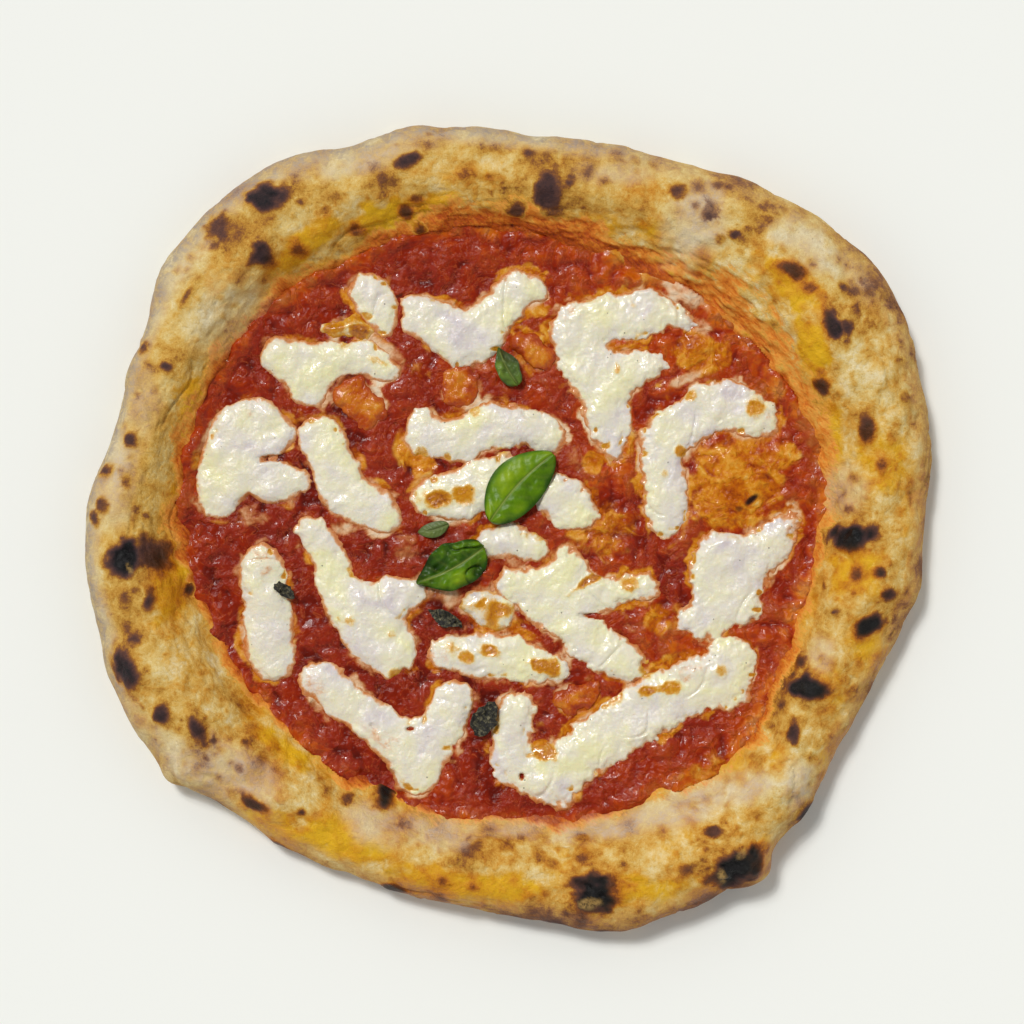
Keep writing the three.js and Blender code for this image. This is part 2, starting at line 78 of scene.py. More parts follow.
# How far a topping's sheet of points reaches past its solid
MARGIN = 4
# Heights that toppings start from, and of the hidden edges that close pieces from below
CHEESE_BASE = 5.25
TOMATO_BASE = 5.3
SKIRT = 3.7
SAUCE_FOOT = 3.6
# The sauce's height where its solid has no top, and its limit under the toppings
SAUCE_SHORE = 6.2
SAUCE_UNDER_TOPPINGS = 5.0
# How far past its solid the sauce runs down into the dough, and the width of its grid past that
SAUCE_SPILL = 2.9
SAUCE_MARGIN = 4.2
# Where rays start that look for a solid's top, in metres
ABOVE_ALL = 0.1
# Rings of the crust's floor and underside
FLOOR_RINGS = 4
UNDER_RINGS = 16
# Random places that are tried for freckles, and the radii between which they are kept
FRECKLE_TRIES = 8200
FRECKLE_FROM, FRECKLE_TO = 104, 172
# What the camera sees across its picture, at the distance given, in metres
VIEW_WIDTH = 0.3874
VIEW_DISTANCE = 1.2
CAMERA_PLACE = (0.0019, 0.0057, 1.212)
SENSOR_WIDTH = 36
# The floor's size and its gap under the pizza in metres, and the tilt and bearing of the lights in degrees
FLOOR_SIZE = 8
FLOOR_GAP = 0.0004
SUN_TILT, SUN_BEARING = 32, 215

# A spot in these lists is: x, y, width, height, strength and, if it is turned, its turn in degrees.
# Burnt and browned places of the rim; those stronger than 1 have burst
RIM_SPOTS = [
    (-89, 124, 20, 14, 0.97, 15), (-109, 113, 13, 10, 0.8, 40), (-92, 102, 13, 11, 0.93, -30),
    (-37, 138, 16, 7, 0.9, 15), (15.5, 127, 14, 18, 0.88), (4, 121, 10, 6, 0.86, 10), (64, 127, 9, 8, 0.8),
    (86, 110, 6, 5, 0.84), (107, 96, 13, 8, 0.88, -20), (113, 90, 8, 6, 0.7), (122, 76, 8, 18, 0.95, 12),
    (119, 53, 6, 11, 0.88, 20), (126, 90, 5, 5, 0.8), (135, 37, 7, 14, 0.84, 5), (148, 63, 8, 5, 0.72),
    (149, 49, 6, 7, 0.7), (140, 24, 5, 8, 0.68), (130.5, -4, 18, 12, 1.03), (140, -17, 6.5, 6, 0.92),
    (143, -25, 6, 7, 0.9), (131, -18, 6, 9, 0.76), (136, -37, 14, 8, 1.0, 35), (124, -32, 6, 6, 0.84),
    (113.5, -60, 14, 12.5, 1.0, 10), (108, -77, 5.5, 11, 0.9, -15), (113, -107, 6.5, 14, 0.98, -35),
    (77, -114, 11, 6, 0.84), (86, -128, 24, 16, 1.03, 35), (68, -128, 14, 8, 0.76, 30),
    (32, -137, 22, 17, 1.04), (-47.3, -102, 9.5, 11, 1.06), (-43, -136, 11, 5, 0.95, -15),
    (-77, -107, 5, 4.5, 0.84), (-95, -104, 13, 6, 0.9, -30), (-85, -122, 16, 5, 0.95, -28),
    (-117, -74, 8, 19, 0.94, 25), (-129, -70, 7, 12, 0.92, 35), (-143, -53, 10, 24, 0.98, 25),
    (-135, -28, 6, 12, 0.92), (-144.5, -12, 15, 18, 1.06), (-133, -10, 17, 18, 0.86),
    (-121, -24, 5, 5, 0.88), (-155, 3, 5, 8, 0.86), (-151, 21, 6, 8, 0.86, -25), (-142, 33, 7, 8, 0.84, 20),
    (-128, 60, 7, 6, 0.86), (-137, 68, 5, 8, 0.76), (-120, 87, 4.5, 14, 0.76, -30), (-79, 105, 8, 7, 0.72),
    (-38, 119, 6, 6, 0.84), (-33, 114, 6, 5, 0.8), (-34, 124, 7, 6, 0.74), (-57, 112, 7, 6, 0.7),
    (-16, 132, 7, 5, 0.66), (98, 116, 6, 5, 0.7), (-137, -41, 5, 5, 0.8), (-64, 124, 10, 7, 0.62, 10),
    (-46, 131, 12, 6, 0.6, 20), (80, 108, 5, 5, 0.6), (-143, 17, 6, 9, 0.68), (-151, 8, 7, 8, 0.76),
    (-60, -103, 6, 5, 0.74), (-11, -121, 7, 6, 0.7), (29, -118, 8, 5, 0.62), (17, -126, 6, 6, 0.66),
]
# Grey ash and tan crumb that look out of the burst blisters
CRUMB_SPOTS = [
    (-141, -16, 5, 1.6, 0.8, -60), (31, -141, 8, 4, 1.0, 10), (80.5, -131, 2.5, 6, 1.0, 10),
    (88, -122.5, 3, 5, 0.7, -30),
]
# Places of the dough that took up oil and baked yellow
YELLOW = [
    (-119, 49, 12, 18, 1.0, 10), (-122, 22, 9, 44, 1.0), (-127, -22, 17, 38, 0.9),
    (-37, 116, 48, 17, 1.1, 5), (-77, 106, 44, 12, 0.9, 38), (-108, 60, 14, 30, 0.6, -20),
    (107, 91, 34, 18, 1.0, -45), (115, 67, 12, 32, 1.1, 15), (70, 104, 24, 13, 0.8, -20),
    (55, 112, 22, 10, 0.8), (123, 34, 10, 38, 0.9), (131, -17, 26, 26, 0.9), (135, -45, 20, 26, 0.8, 20),
    (126, -68, 16, 26, 0.6), (85, -94, 28, 13, 0.9, 20), (102, -89, 16, 14, 0.7),
    (124, -92, 18, 30, 0.9, -30), (96, -124, 18, 20, 0.8), (45, -137, 22, 16, 0.9),
    (59, -136, 34, 12, 0.8, 20), (18, -131, 14, 22, 0.6), (-61, -117, 44, 22, 1.0, -20),
    (-89, -111, 34, 18, 1.0, -35), (-28, -134, 44, 16, 1.0, -8), (-3, -136, 36, 16, 1.0),
    (-85, -84, 36, 10, 0.9, -38), (-45, -102, 15, 14, 1.0), (-150, 30, 14, 40, 0.4, 5),
    (-120, -50, 22, 40, 0.5, 20), (-145, -70, 14, 34, 0.5, 30), (0, 118, 30, 10, 0.6),
    (30, 113, 30, 12, 0.8), (-115, 5, 10, 30, 0.8), (143, 60, 16, 30, 0.4, 10), (152, 10, 14, 60, 0.6),
    (-62, 120, 24, 10, 0.4, 20), (-15, 132, 42, 15, 0.55), (50, 128, 38, 14, 0.55, -10),
    (62, -124, 26, 18, 0.55, 15), (141, 25, 24, 36, 0.8), (121, -58, 18, 34, 0.7, 12),
    (-105, 95, 26, 12, 0.5, 45), (20, -124, 40, 10, 0.4),
]
# Places where flour and steam left the dough pale
PALE = [
    (-25, -114, 26, 12, 0.9, -5), (-50, -111, 22, 14, 0.7, -20), (5, -112, 28, 8, 0.9),
    (39, -112, 44, 10, 1.0, 8), (72, -103, 46, 12, 1.0, 22), (92, -98, 20, 9, 0.9, 30),
    (-125, 103, 50, 18, 0.7, 55), (-97, 140, 40, 9, 0.8, 28), (-54, 138, 40, 9, 0.8, 14),
    (-104, 79, 22, 30, 0.35, -35), (72, 116, 20, 30, 0.9, -20), (113, 107, 26, 16, 0.7, -40),
    (127, 14, 14, 16, 0.5), (-148, 75, 14, 50, 0.8, -15), (-158, 0, 10, 60, 0.6), (-149, 24, 16, 38, 0.9),
    (-100, -92, 34, 16, 0.8, -38), (0, 148, 70, 8, 0.7, -3), (60, 143, 60, 8, 0.5, -14),
    (110, -97, 14, 16, 0.9), (118, -48, 10, 12, 0.6), (60, -108, 50, 9, 0.9, 16),
    (-120, -92, 40, 12, 0.8, -45), (130, 96, 30, 10, 0.4, -50), (-138, 48, 14, 24, 0.5),
    (40, 133, 24, 9, 0.5),
]
# Golden grease that collected in the toppings and on the dough bubble
GREASE = [
    (87, 18, 33, 36, 1.0), (73, 66, 24, 15, 0.95, -10), (105, 27, 13, 13, 0.7), (-35, 28, 14, 20, 0.7, 30),
    (42, 68, 20, 4, 0.9), (28, -19, 14, 7, 0.9, -35), (57, -35, 10, 12, 0.7), (12, 83, 9, 6, 0.8),
    (-83, -36, 8, 20, 0.4), (-52, 70, 14, 7, 0.8), (33, 25, 9, 10, 0.8), (62, -52, 22, 7, 0.8, 20),
    (50, 100, 40, 10, 0.5, -25), (-60, -25, 8, 12, 0.5), (-33, 60, 10, 8, 0.4), (75, -92, 34, 12, 0.45, 40),
    (0, -38, 22, 5, 0.7, -20), (46, 33, 8, 14, 0.6), (36, 0, 26, 26, 0.55), (60, -33, 20, 14, 0.4),
    (-95, -75, 14, 30, 0.35, 35), (14, -85, 10, 7, 0.9),
]
# Toasted places on the cheese
TOAST = [
    (-65.5, 76, 11, 6, 0.9), (-56.5, 75, 9, 6, 1.0), (-60.5, -36, 6, 5, 0.6), (-42, -56, 6, 5, 0.7),
    (-33, 28, 6, 5, 0.6), (-27, 10.5, 11, 7, 1.0), (-16.5, 12.5, 8, 8, 0.8, 30), (94, 46, 8, 7, 0.8),
    (65.5, 28.5, 5, 5, 0.8), (70.6, 50.5, 5, 5, 0.7), (54, -54, 8, 8, 0.7), (53, -62, 8, 5, 0.9),
    (61, -61, 10, 5, 0.8), (81, -54, 6, 5, 0.6), (-6.5, -47, 11, 6, 0.9), (-15, -50, 7, 5, 0.8),
    (14, -53, 12, 7, 0.9, -10), (-21, -46, 5, 6, 0.6), (14.5, -85, 9, 8, 0.9), (12, -3, 5, 4, 0.5),
    (28, 23, 9, 8, 0.9), (47, -22, 6, 6, 0.7), (42, 60, 3, 5, 0.6), (-3, -31, 9, 7, 0.9),
    (-10, -29, 7, 6, 0.8), (38, 24, 5, 7, 0.7), (12, 76, 8, 5, 0.7), (-2, 29, 5, 4, 0.5),
    (31, -20.5, 12, 3.6, 1.0, 31), (-62, 69, 6, 4, 0.5), (-49, 63, 8, 3, 0.5, -20), (48, 84, 4, 3, 0.5),
    (60, 20, 4, 3, 0.5), (-44, -41, 4, 3, 0.5), (-12, 44, 4, 4, 0.6), (-20, 46, 6, 4, 0.7),
]
# Thin films of melted cheese that lie on the sauce
FILMS = [
    (-24, -26, 24, 8, 0.6, -15), (28, 25, 12, 18, 0.35), (36, 22, 7, 12, 0.2), (61, -9, 16, 10, 0.32),
    (-98, 4, 12, 12, 0.5), (-62, -1, 12, 6, 0.7), (67, 56, 14, 5, 0.7, 25), (-49, 68, 9, 18, 0.7, 50),
    (-12, 62, 16, 5, 0.5, -10), (0, -13, 24, 7, 0.5), (-10, -38, 26, 6, 0.4), (50, -38, 12, 5, 0.4),
    (-88, 24, 24, 4, 0.4), (113, 6, 8, 20, 0.35), (-37, -7, 14, 12, 0.4), (7, -68, 12, 8, 0.4),
    (75, 76, 12, 7, 0.6, -30), (98, 36, 14, 8, 0.5, 30), (66, 90, 26, 9, 0.8, -35), (40, -28, 14, 4, 0.4),
    (-78, -36, 8, 14, 0.4),
]
# Gaps in the cheese, where the sauce shows; the strength is a share of GAP_DEPTH
GAPS = [
    (-94, 25.6, 17, 3.4, 1.2, 4), (-98, 25.2, 6, 4.4, 1.2), (29.5, -33.6, 16, 2.2, 1.1, -7),
    (5.8, -94.7, 2.2, 2.8, 1.2), (-50, -76, 5, 2.2, 0.8, -35), (-44, -80.5, 4, 2.0, 0.8, -30),
    (-36.7, -76.8, 3.4, 2.0, 0.8), (-29, -36, 8, 1.3, 0.8, -30),
]
# Places where the cheese is thin and the sauce tints it
THIN = [
    (-93, -12.5, 13, 13, 0.85), (-72, -60, 15, 11, 0.75, -35), (68, -56, 16, 8, 0.8, 15),
    (22, 84, 15, 10, 0.65, 30), (-46, -80, 20, 8, 0.7, -35), (44, -24, 10, 9, 0.6), (108, 4, 8, 18, 0.8),
    (30, 74, 12, 12, 0.4), (-78, 70, 22, 16, 0.35), (5, -96, 20, 10, 0.5, -25), (72, 0, 8, 12, 0.7),
    (-24, -51, 8, 10, 0.6), (20, -60, 10, 8, 0.45), (12, -80, 8, 10, 0.5), (-98, 46, 12, 12, 0.5, 40),
    (97, 42, 12, 9, 0.6, -40), (57, -40, 8, 10, 0.7), (-35, -33, 9, 7, 0.5, 30), (3, -13, 10, 8, 0.4),
    (-78, 8, 6, 14, 0.4, 20),
]
# Places where the sauce lies lower and lets the dough show
DIPS = [(20, -112, 46, 14, 1.0, 4), (-47, -97, 22, 13, 1.5, -15)]
# Scorch marks on the dough bubble, and a dark stalk
SCORCH = [(93, 10.5, 6.5, 2.6, 1.0, 40), (88, 7, 3, 2, 0.6), (-41, 88, 4, 1.5, 0.8, 20)]
# Basil leaves: x, y, length, width, heading of the tip in degrees, pucker between the veins
LEAVES = {
    "basil_leaf_large": (5.5, 15.0, 35, 20, 47, 0.35),
    "basil_leaf_left": (-21.5, -14.5, 29, 18, 208, 0.9),
    "basil_sliver_top": (0.5, 61, 16, 9, 118, 0.9),
    "basil_wilted": (-28, -0.5, 12, 6, 195, 0.3),
}
VEINS = (0.1, 0.24, 0.38, 0.52, 0.66, 0.79)
WILT = {"basil_wilted": 0.75, "basil_sliver_top": 0.4}
BURNT_LEAVES = ("basil_charred_left", "basil_charred_middle", "basil_charred_bottom")


def colour(code):
    """A hex sRGB colour as linear RGBA."""
    parts = [int(code[k:k + 2], 16) / 255 for k in (1, 3, 5)]
    return tuple(c / 12.92 if c <= 0.04045 else ((c + 0.055) / 1.055) ** 2.4 for c in parts) + (1.0,)


def smooth(value, low, high):
    """0 at low and 1 at high, eased at both; low may be the larger one."""
    t = np.clip((value - low) / (high - low), 0, 1)
    return t * t * (3 - 2 * t)


def bell(value, centre, width, power=2):
    """1 at the centre, and fading to 0 on both sides of it."""
    return np.exp(-((value - centre) / width) ** power)


def hills(points, size, seed):
    """Random hills from -1 to 1, about one for each cube of the given size, the same on every run."""
    table = np.random.default_rng(seed).uniform(-1, 1, (32, 32, 32))
    places = np.asarray(points) / size + 8.37 * seed
    base = np.floor(places).astype(int)
    share = places - base
    share = share * share * (3 - 2 * share)
    total = 0
    for corner in itertools.product((0, 1), repeat=3):
        weight = np.prod(np.where(corner, share, 1 - share), axis=-1)
        total = total + weight * table[tuple(np.moveaxis((base + corner) % 32, -1, 0))]
    return total


def rough(points, size, seed, octaves=3, gain=0.5):
    """Hills on hills, each layer half the size of the one before it."""
    return sum(gain ** k * hills(points, size / 2 ** k, seed + k) for k in range(octaves))


def creases(points, size, seed, width):
    """Narrow lines that wander over the surface: 1 on a line and 0 beside it."""
    return 1 - smooth(np.abs(hills(points, size, seed)), 0, width)


def patchwork(points, spots, waver=0.25, seed=90):
    """How far each point is from each spot's centre, in half widths, and the spot's strength."""
    wander = waver * rough(points, 5, seed)
    for x, y, width, height, strength, *turn in spots:
        angle = math.radians(sum(turn))
        dx, dy = points[..., 0] - x, points[..., 1] - y
        along = (dx * math.cos(angle) + dy * math.sin(angle)) / (width / 2)
        across = (dy * math.cos(angle) - dx * math.sin(angle)) / (height / 2)
        yield np.hypot(along, across) + wander, strength


def spotted(points, spots, soft=0.5, **how):
    """The strongest of the spots at each point."""
    best = np.zeros(points.shape[:-1])
    for away, strength in patchwork(points, spots, **how):
        best = np.maximum(best, strength * smooth(away, 1 + soft, 1 - soft))
    return best


def cubic(values, places, closed=False):
    """Reads rows of values at fractional places through a cubic."""
    base = np.floor(places).astype(int)
    t = (places - base).reshape((-1,) + (1,) * (values.ndim - 1))
    last = len(values) - 1
    at = [(base + k) % len(values) if closed else np.clip(base + k, 0, last) for k in (-1, 0, 1, 2)]
    a, b, c, d = (values[k] for k in at)
    return b + 0.5 * t * (c - a + t * (2 * a - 5 * b + 4 * c - d + t * (3 * (b - c) + d - a)))


def read_points(mesh):
    flat = np.empty(len(mesh.vertices) * 3)
    mesh.vertices.foreach_get("co", flat)
    return flat.reshape(-1, 3) / MM


def write_points(mesh, points):
    mesh.vertices.foreach_set("co", (points * MM).ravel())
    mesh.update()


def write_values(mesh, **values):
    """Stores one number for each vertex under each name, by which a shader reads it."""
    for name, numbers in values.items():
        layer = mesh.attributes.new(name, "FLOAT", "POINT")
        layer.data.foreach_set("value", np.asarray(numbers, dtype=np.float32).ravel())


def only(piece):
    """Makes a piece the one that the operators work on."""
    bpy.ops.object.select_all(action="DESELECT")
    piece.hide_set(False)
    piece.select_set(True)
    bpy.context.view_layer.objects.active = piece


def weld(piece, distance=0.01):
    only(piece)
    bpy.ops.object.mode_set(mode="EDIT")
    bpy.ops.mesh.select_all(action="SELECT")
    bpy.ops.mesh.remove_doubles(threshold=distance * MM)
    bpy.ops.mesh.normals_make_consistent(inside=False)
    bpy.ops.object.mode_set(mode="OBJECT")


def modified(piece, kind, **settings):
    only(piece)
    modifier = piece.modifiers.new(kind.title(), kind)
    for name, value in settings.items():
        setattr(modifier, name, value)
    bpy.ops.object.modifier_apply(modifier=modifier.name)


def dressed(piece, node_names, material):
    """Gives a piece its material and its place in the frame, and lets it stand for its solids."""
    piece.data.materials.clear()
    piece.data.materials.append(material)
    only(piece)
    bpy.ops.object.shade_smooth()
    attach(piece, "root")
    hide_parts(*node_names)


def copy_of(node, name):
    """A welded copy of a solid, free of the frame."""
    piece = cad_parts[node].copy()
    piece.data = piece.data.copy()
    piece.parent = None
    piece.name = name
    bpy.context.collection.objects.link(piece)
    for modifier in list(piece.modifiers):
        piece.modifiers.remove(modifier)
    weld(piece)
    return piece


def joined_rings(name, rings):
    """A closed skin over rings of points; the first and the last ring are each one point."""
    rows, stations = rings.shape[:2]
    bpy.ops.object.select_all(action="DESELECT")
    bpy.ops.mesh.primitive_grid_add(x_subdivisions=stations, y_subdivisions=rows - 1, size=1)
    piece = bpy.context.object
    piece.name = piece.data.name = name
    flat = read_points(piece.data) * MM
    column = np.rint((flat[:, 0] + 0.5) * stations).astype(int) % stations
    row = np.rint((flat[:, 1] + 0.5) * (rows - 1)).astype(int)
    write_points(piece.data, rings[row, column])
    return piece, (row, column)


def ring_normals(rings):
    """Outward normals of rings that run from the middle of the top over the edge to the underside."""
    down = np.gradient(rings, axis=0)
    on = np.roll(rings, -1, axis=1) - np.roll(rings, 1, axis=1)
    normals = np.cross(down, on)
    return normals / np.maximum(np.linalg.norm(normals, axis=-1, keepdims=True), 1e-9)


def tree_of(node):
    """For finding the surface of a solid, in metres."""
    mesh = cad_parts[node].data
    return BVHTree.FromPolygons([v.co for v in mesh.vertices], [tuple(p.vertices) for p in mesh.polygons])


def height_on(tree, points, missing):
    """The height of a solid's top over each point, or the missing value beside it."""
    flat = points.reshape(-1, points.shape[-1])
    down = Vector((0, 0, -1))
    hits = (tree.ray_cast(Vector((x * MM, y * MM, ABOVE_ALL)), down)[0] for x, y in flat[:, :2])
    heights = [missing if hit is None else hit.z / MM for hit in hits]
    return np.array(heights).reshape(points.shape[:-1])


def nodes_of(kind):
    return [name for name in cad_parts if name.startswith(kind)]


def outline_of(node):
    """The edges of a solid's flat underside, seen from above: pairs of points."""
    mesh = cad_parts[node].data
    sides = {}
    for face in mesh.polygons:
        corners = [tuple(np.round(np.array(mesh.vertices[k].co) / MM, 2)) for k in face.vertices]
        for pair in zip(corners, corners[1:] + corners[:1]):
            sides.setdefault(frozenset(pair), []).append(face.normal.z < -0.9)
    rim = [tuple(pair) for pair, under in sides.items() if any(under) and not all(under)]
    return np.array([[a[:2], b[:2]] for a, b in rim])


def depth_inside(points, outline):
    """How far inside an outline each point is, seen from above; negative outside it."""
    reach = OUTSIDE_REACH
    flat = points.reshape(-1, 3)[:, :2]
    depth = np.full(len(flat), -float(reach))
    low, high = outline.min(axis=(0, 1)) - reach, outline.max(axis=(0, 1)) + reach
    near = np.flatnonzero(np.all((flat > low) & (flat < high), axis=1))
    start, along = outline[:, 0], outline[:, 1] - outline[:, 0]
    for part in np.array_split(near, 1 + len(near) // 8000):
        offset = flat[part][:, None] - start
        share = np.clip((offset * along).sum(axis=2) / (along ** 2).sum(axis=1), 0, 1)
        away = np.linalg.norm(offset - share[..., None] * along, axis=2).min(axis=1)
        over = (start[:, 1] > flat[part][:, 1:]) != (start[:, 1] + along[:, 1] > flat[part][:, 1:])
        run = np.where(along[:, 1] == 0, 1, along[:, 1])
        right = offset[..., 0] < offset[..., 1] * along[:, 0] / run
        inside = np.count_nonzero(over & right, axis=1) % 2 == 1
        depth[part] = np.where(inside, away, -np.minimum(away, reach))
    return depth.reshape(points.shape[:-1])


def melt(points):
    """How much further out than its even solid the cheese ran, at each point."""
    flat = points * [1, 1, 0]
    fringe = 1.1 * hills(flat, 4.3, 71) + 0.85 * hills(flat, 2.1, 72) + 0.45 * hills(flat, 1.1, 73)
    ragged = 0.7 + 0.6 * smooth(flat[..., 0], -30, 30)
    return hills(flat, 9, 70) + ragged * fringe + 0.5 - GAP_DEPTH * spotted(
        flat, GAPS, 0.35, waver=0.35)


def cheese_depth(points, nodes=None):
    """How far inside the melted cheese each point is."""
    best = np.full(points.shape[:-1], -float(OUTSIDE_REACH))
    for node in nodes or nodes_of("mozzarella"):
        best = np.maximum(best, depth_inside(points, outline_of(node)))
    return np.where(best > 0.5 - OUTSIDE_REACH, best + melt(points), -OUTSIDE_REACH)


def domed(depth):
    """0 at a topping's edge and 1 from its shoulder on, round like a drop."""
    return 1 - (1 - np.clip(depth / SHOULDER, 0, 1)) ** 2


def sheet_over(name, low, high, spacing):
    """A square grid between two corners, its points in millimetres, with the spacing given."""
    low, high = np.array(low, dtype=float), np.array(high, dtype=float)
    count = np.ceil((high - low) / spacing).astype(int)
    bpy.ops.object.select_all(action="DESELECT")
    bpy.ops.mesh.primitive_grid_add(x_subdivisions=count[0], y_subdivisions=count[1], size=1)
    piece = bpy.context.object
    piece.name = piece.data.name = name
    points = read_points(piece.data) * MM
    points[:, :2] = low + (points[:, :2] + 0.5) * (high - low)
    return piece, points


def sheet_round(node, ending, margin, spacing):
    """A grid over a node's box and a margin round it, and its points."""
    low, high = (np.array(corner[:2]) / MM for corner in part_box(node))
    return sheet_over(node + ending, low - margin, high + margin, spacing)


def trimmed(piece, spare, base):
    """Deletes the spare vertices, brings the new edge down to one height and closes the piece from below."""
    mesh = piece.data
    for parts in (mesh.edges, mesh.polygons):
        parts.foreach_set("select", np.zeros(len(parts), dtype=bool))
    mesh.vertices.foreach_set("select", np.asarray(spare))
    only(piece)
    bpy.ops.object.mode_set(mode="EDIT")
    bpy.ops.mesh.delete(type="VERT")
    bpy.ops.mesh.select_all(action="SELECT")
    bpy.ops.mesh.delete_loose()
    bpy.ops.mesh.select_all(action="DESELECT")
    bpy.ops.mesh.select_non_manifold(
        use_wire=False, use_multi_face=False, use_non_contiguous=False, use_verts=False)
    bpy.ops.object.mode_set(mode="OBJECT")
    points = read_points(mesh)
    edge = np.empty(len(points), dtype=bool)
    mesh.vertices.foreach_get("select", edge)
    points[edge, 2] = base
    write_points(mesh, points)
    bpy.ops.object.mode_set(mode="EDIT")
    bpy.ops.mesh.fill_holes(sides=0)
    bpy.ops.object.mode_set(mode="OBJECT")


def stations_of(node, hub):
    """A ring-shaped solid's corners, sorted by station: radius, height and the station of each."""
    points = np.unique(np.round(read_points(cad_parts[node].data), 3), axis=0)
    points[:, :2] -= hub
    radius = np.hypot(points[:, 0], points[:, 1])
    points, radius = points[radius > 2], radius[radius > 2]
    turn = (np.degrees(np.arctan2(points[:, 1], points[:, 0])) + 0.3) % 360
    count = 1 + np.count_nonzero(np.diff(np.sort(turn)) > 0.5)
    station = np.rint((turn - 0.3) / 360 * count).astype(int) % count
    return radius, points[:, 2], station, count


def hub_of(node):
    """Where a ring-shaped solid's fans of triangles meet."""
    points = read_points(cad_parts[node].data)
    return points[np.argmin(np.hypot(points[:, 0], points[:, 1]))][:2]


def rim_sections(hub):
    """The crust cut at each station: radius and height from the floor's edge over the crest to the foot."""
    radius, height, station, count = stations_of("crust", hub)
    sections = []
    for k in range(count):
        r, z = radius[station == k], height[station == k]
        turn = (np.degrees(np.arctan2(z - 5, r - r.mean())) + 90) % 360
        order = np.argsort(-turn)
        sections.append(np.column_stack([r, z])[order])
    return np.array(sections)


def turned(sections, hub, count):
    """Sections of (radius, height) turned about the hub: rings of points, from the first one outwards."""
    angles = np.linspace(0, 2 * math.pi, count, endpoint=False)[:, None]
    r, z = sections[..., 0], sections[..., 1]
    rings = np.stack([hub[0] + r * np.cos(angles), hub[1] + r * np.sin(angles), z], axis=-1)
    return np.swapaxes(rings, 0, 1)


# Shader graphs


def add(tree, kind, inputs=None, **settings):
    """Adds a shader node; an input is a value or the socket that feeds it."""
    made = tree.nodes.new("ShaderNode" + kind)
    for name, value in settings.items():
        setattr(made, name, value)
    for key, value in (inputs or {}).items():
        if isinstance(value, bpy.types.NodeSocket):
            tree.links.new(value, made.inputs[key])
        else:
            made.inputs[key].default_value = value
    return made


def new_material(name, **surface):
    """A material with one surface shader, and its graph."""
    material = bpy.data.materials.new(name)
    material.use_nodes = True
    tree = material.node_tree
    shader = tree.nodes["Principled BSDF"]
    for key, value in surface.items():
        shader.inputs[key.replace("_", " ")].default_value = value
    return material, tree, shader


def value_of(tree, name):
    return add(tree, "Attribute", attribute_name=name).outputs["Fac"]


def noise(tree, size, detail=3.0, roughness=0.55, distortion=0.0, heading=None):
    """Noise with its largest features at the given size; a heading draws it out square to itself."""
    place = add(tree, "TexCoord").outputs["Object"]
    if heading is not None:
        place = add(tree, "Mapping", {"Vector": place, "Rotation": (0, 0, math.radians(heading)),
                                      "Scale": (0.45, 1.4, 1)}, vector_type="TEXTURE").outputs["Vector"]
    made = add(tree, "TexNoise", {"Vector": place, "Scale": 1 / (size * MM), "Detail": detail,
                                  "Roughness": roughness, "Distortion": distortion})
    return made.outputs["Fac"]


def cells(tree, size):
    place = add(tree, "TexCoord").outputs["Object"]
    return add(tree, "TexVoronoi", {"Vector": place, "Scale": 1 / (size * MM)}).outputs["Distance"]


def calc(tree, operation, a, b=0.0):
    return add(tree, "Math", {0: a, 1: b}, operation=operation).outputs[0]


def times(tree, a, b):
    return calc(tree, "MULTIPLY", a, b)


def unevenly(tree, value, texture, amount):
    """A value that a texture pushes up and down."""
    push = times(tree, calc(tree, "SUBTRACT", texture, 0.5), amount)
    return calc(tree, "ADD", value, push)


def spread(tree, value, low, high, to_low=0.0, to_high=1.0):
    """Maps low..high of a value to to_low..to_high, and holds it there."""
    made = add(tree, "MapRange", {"Value": value, "From Min": low, "From Max": high,
                                  "To Min": to_low, "To Max": to_high}, interpolation_type="SMOOTHSTEP")
    return made.outputs["Result"]


def mixed(tree, factor, first, second, blend="MIX"):
    made = add(tree, "Mix", {0: factor, 6: first, 7: second}, data_type="RGBA", blend_type=blend)
    return made.outputs[2]


def ramp(tree, value, stops):
    """Colours along a value: pairs of place and hex colour."""
    made = add(tree, "ValToRGB", {"Fac": value})
    elements = made.color_ramp.elements
    while len(elements) < len(stops):
        elements.new(0.5)
    for element, (place, code) in zip(elements, stops):
        element.position = place
        element.color = colour(code)
    return made.outputs["Color"]


def bumped(tree, shader, layers):
    """Adds fine relief to a shader: pairs of height socket and depth in millimetres."""
    normal = None
    for height, depth in layers:
        inputs = {"Height": height, "Distance": depth * MM, "Strength": 1.0}
        if normal:
            inputs["Normal"] = normal
        normal = add(tree, "Bump", inputs).outputs["Normal"]
    tree.links.new(normal, shader.inputs["Normal"])


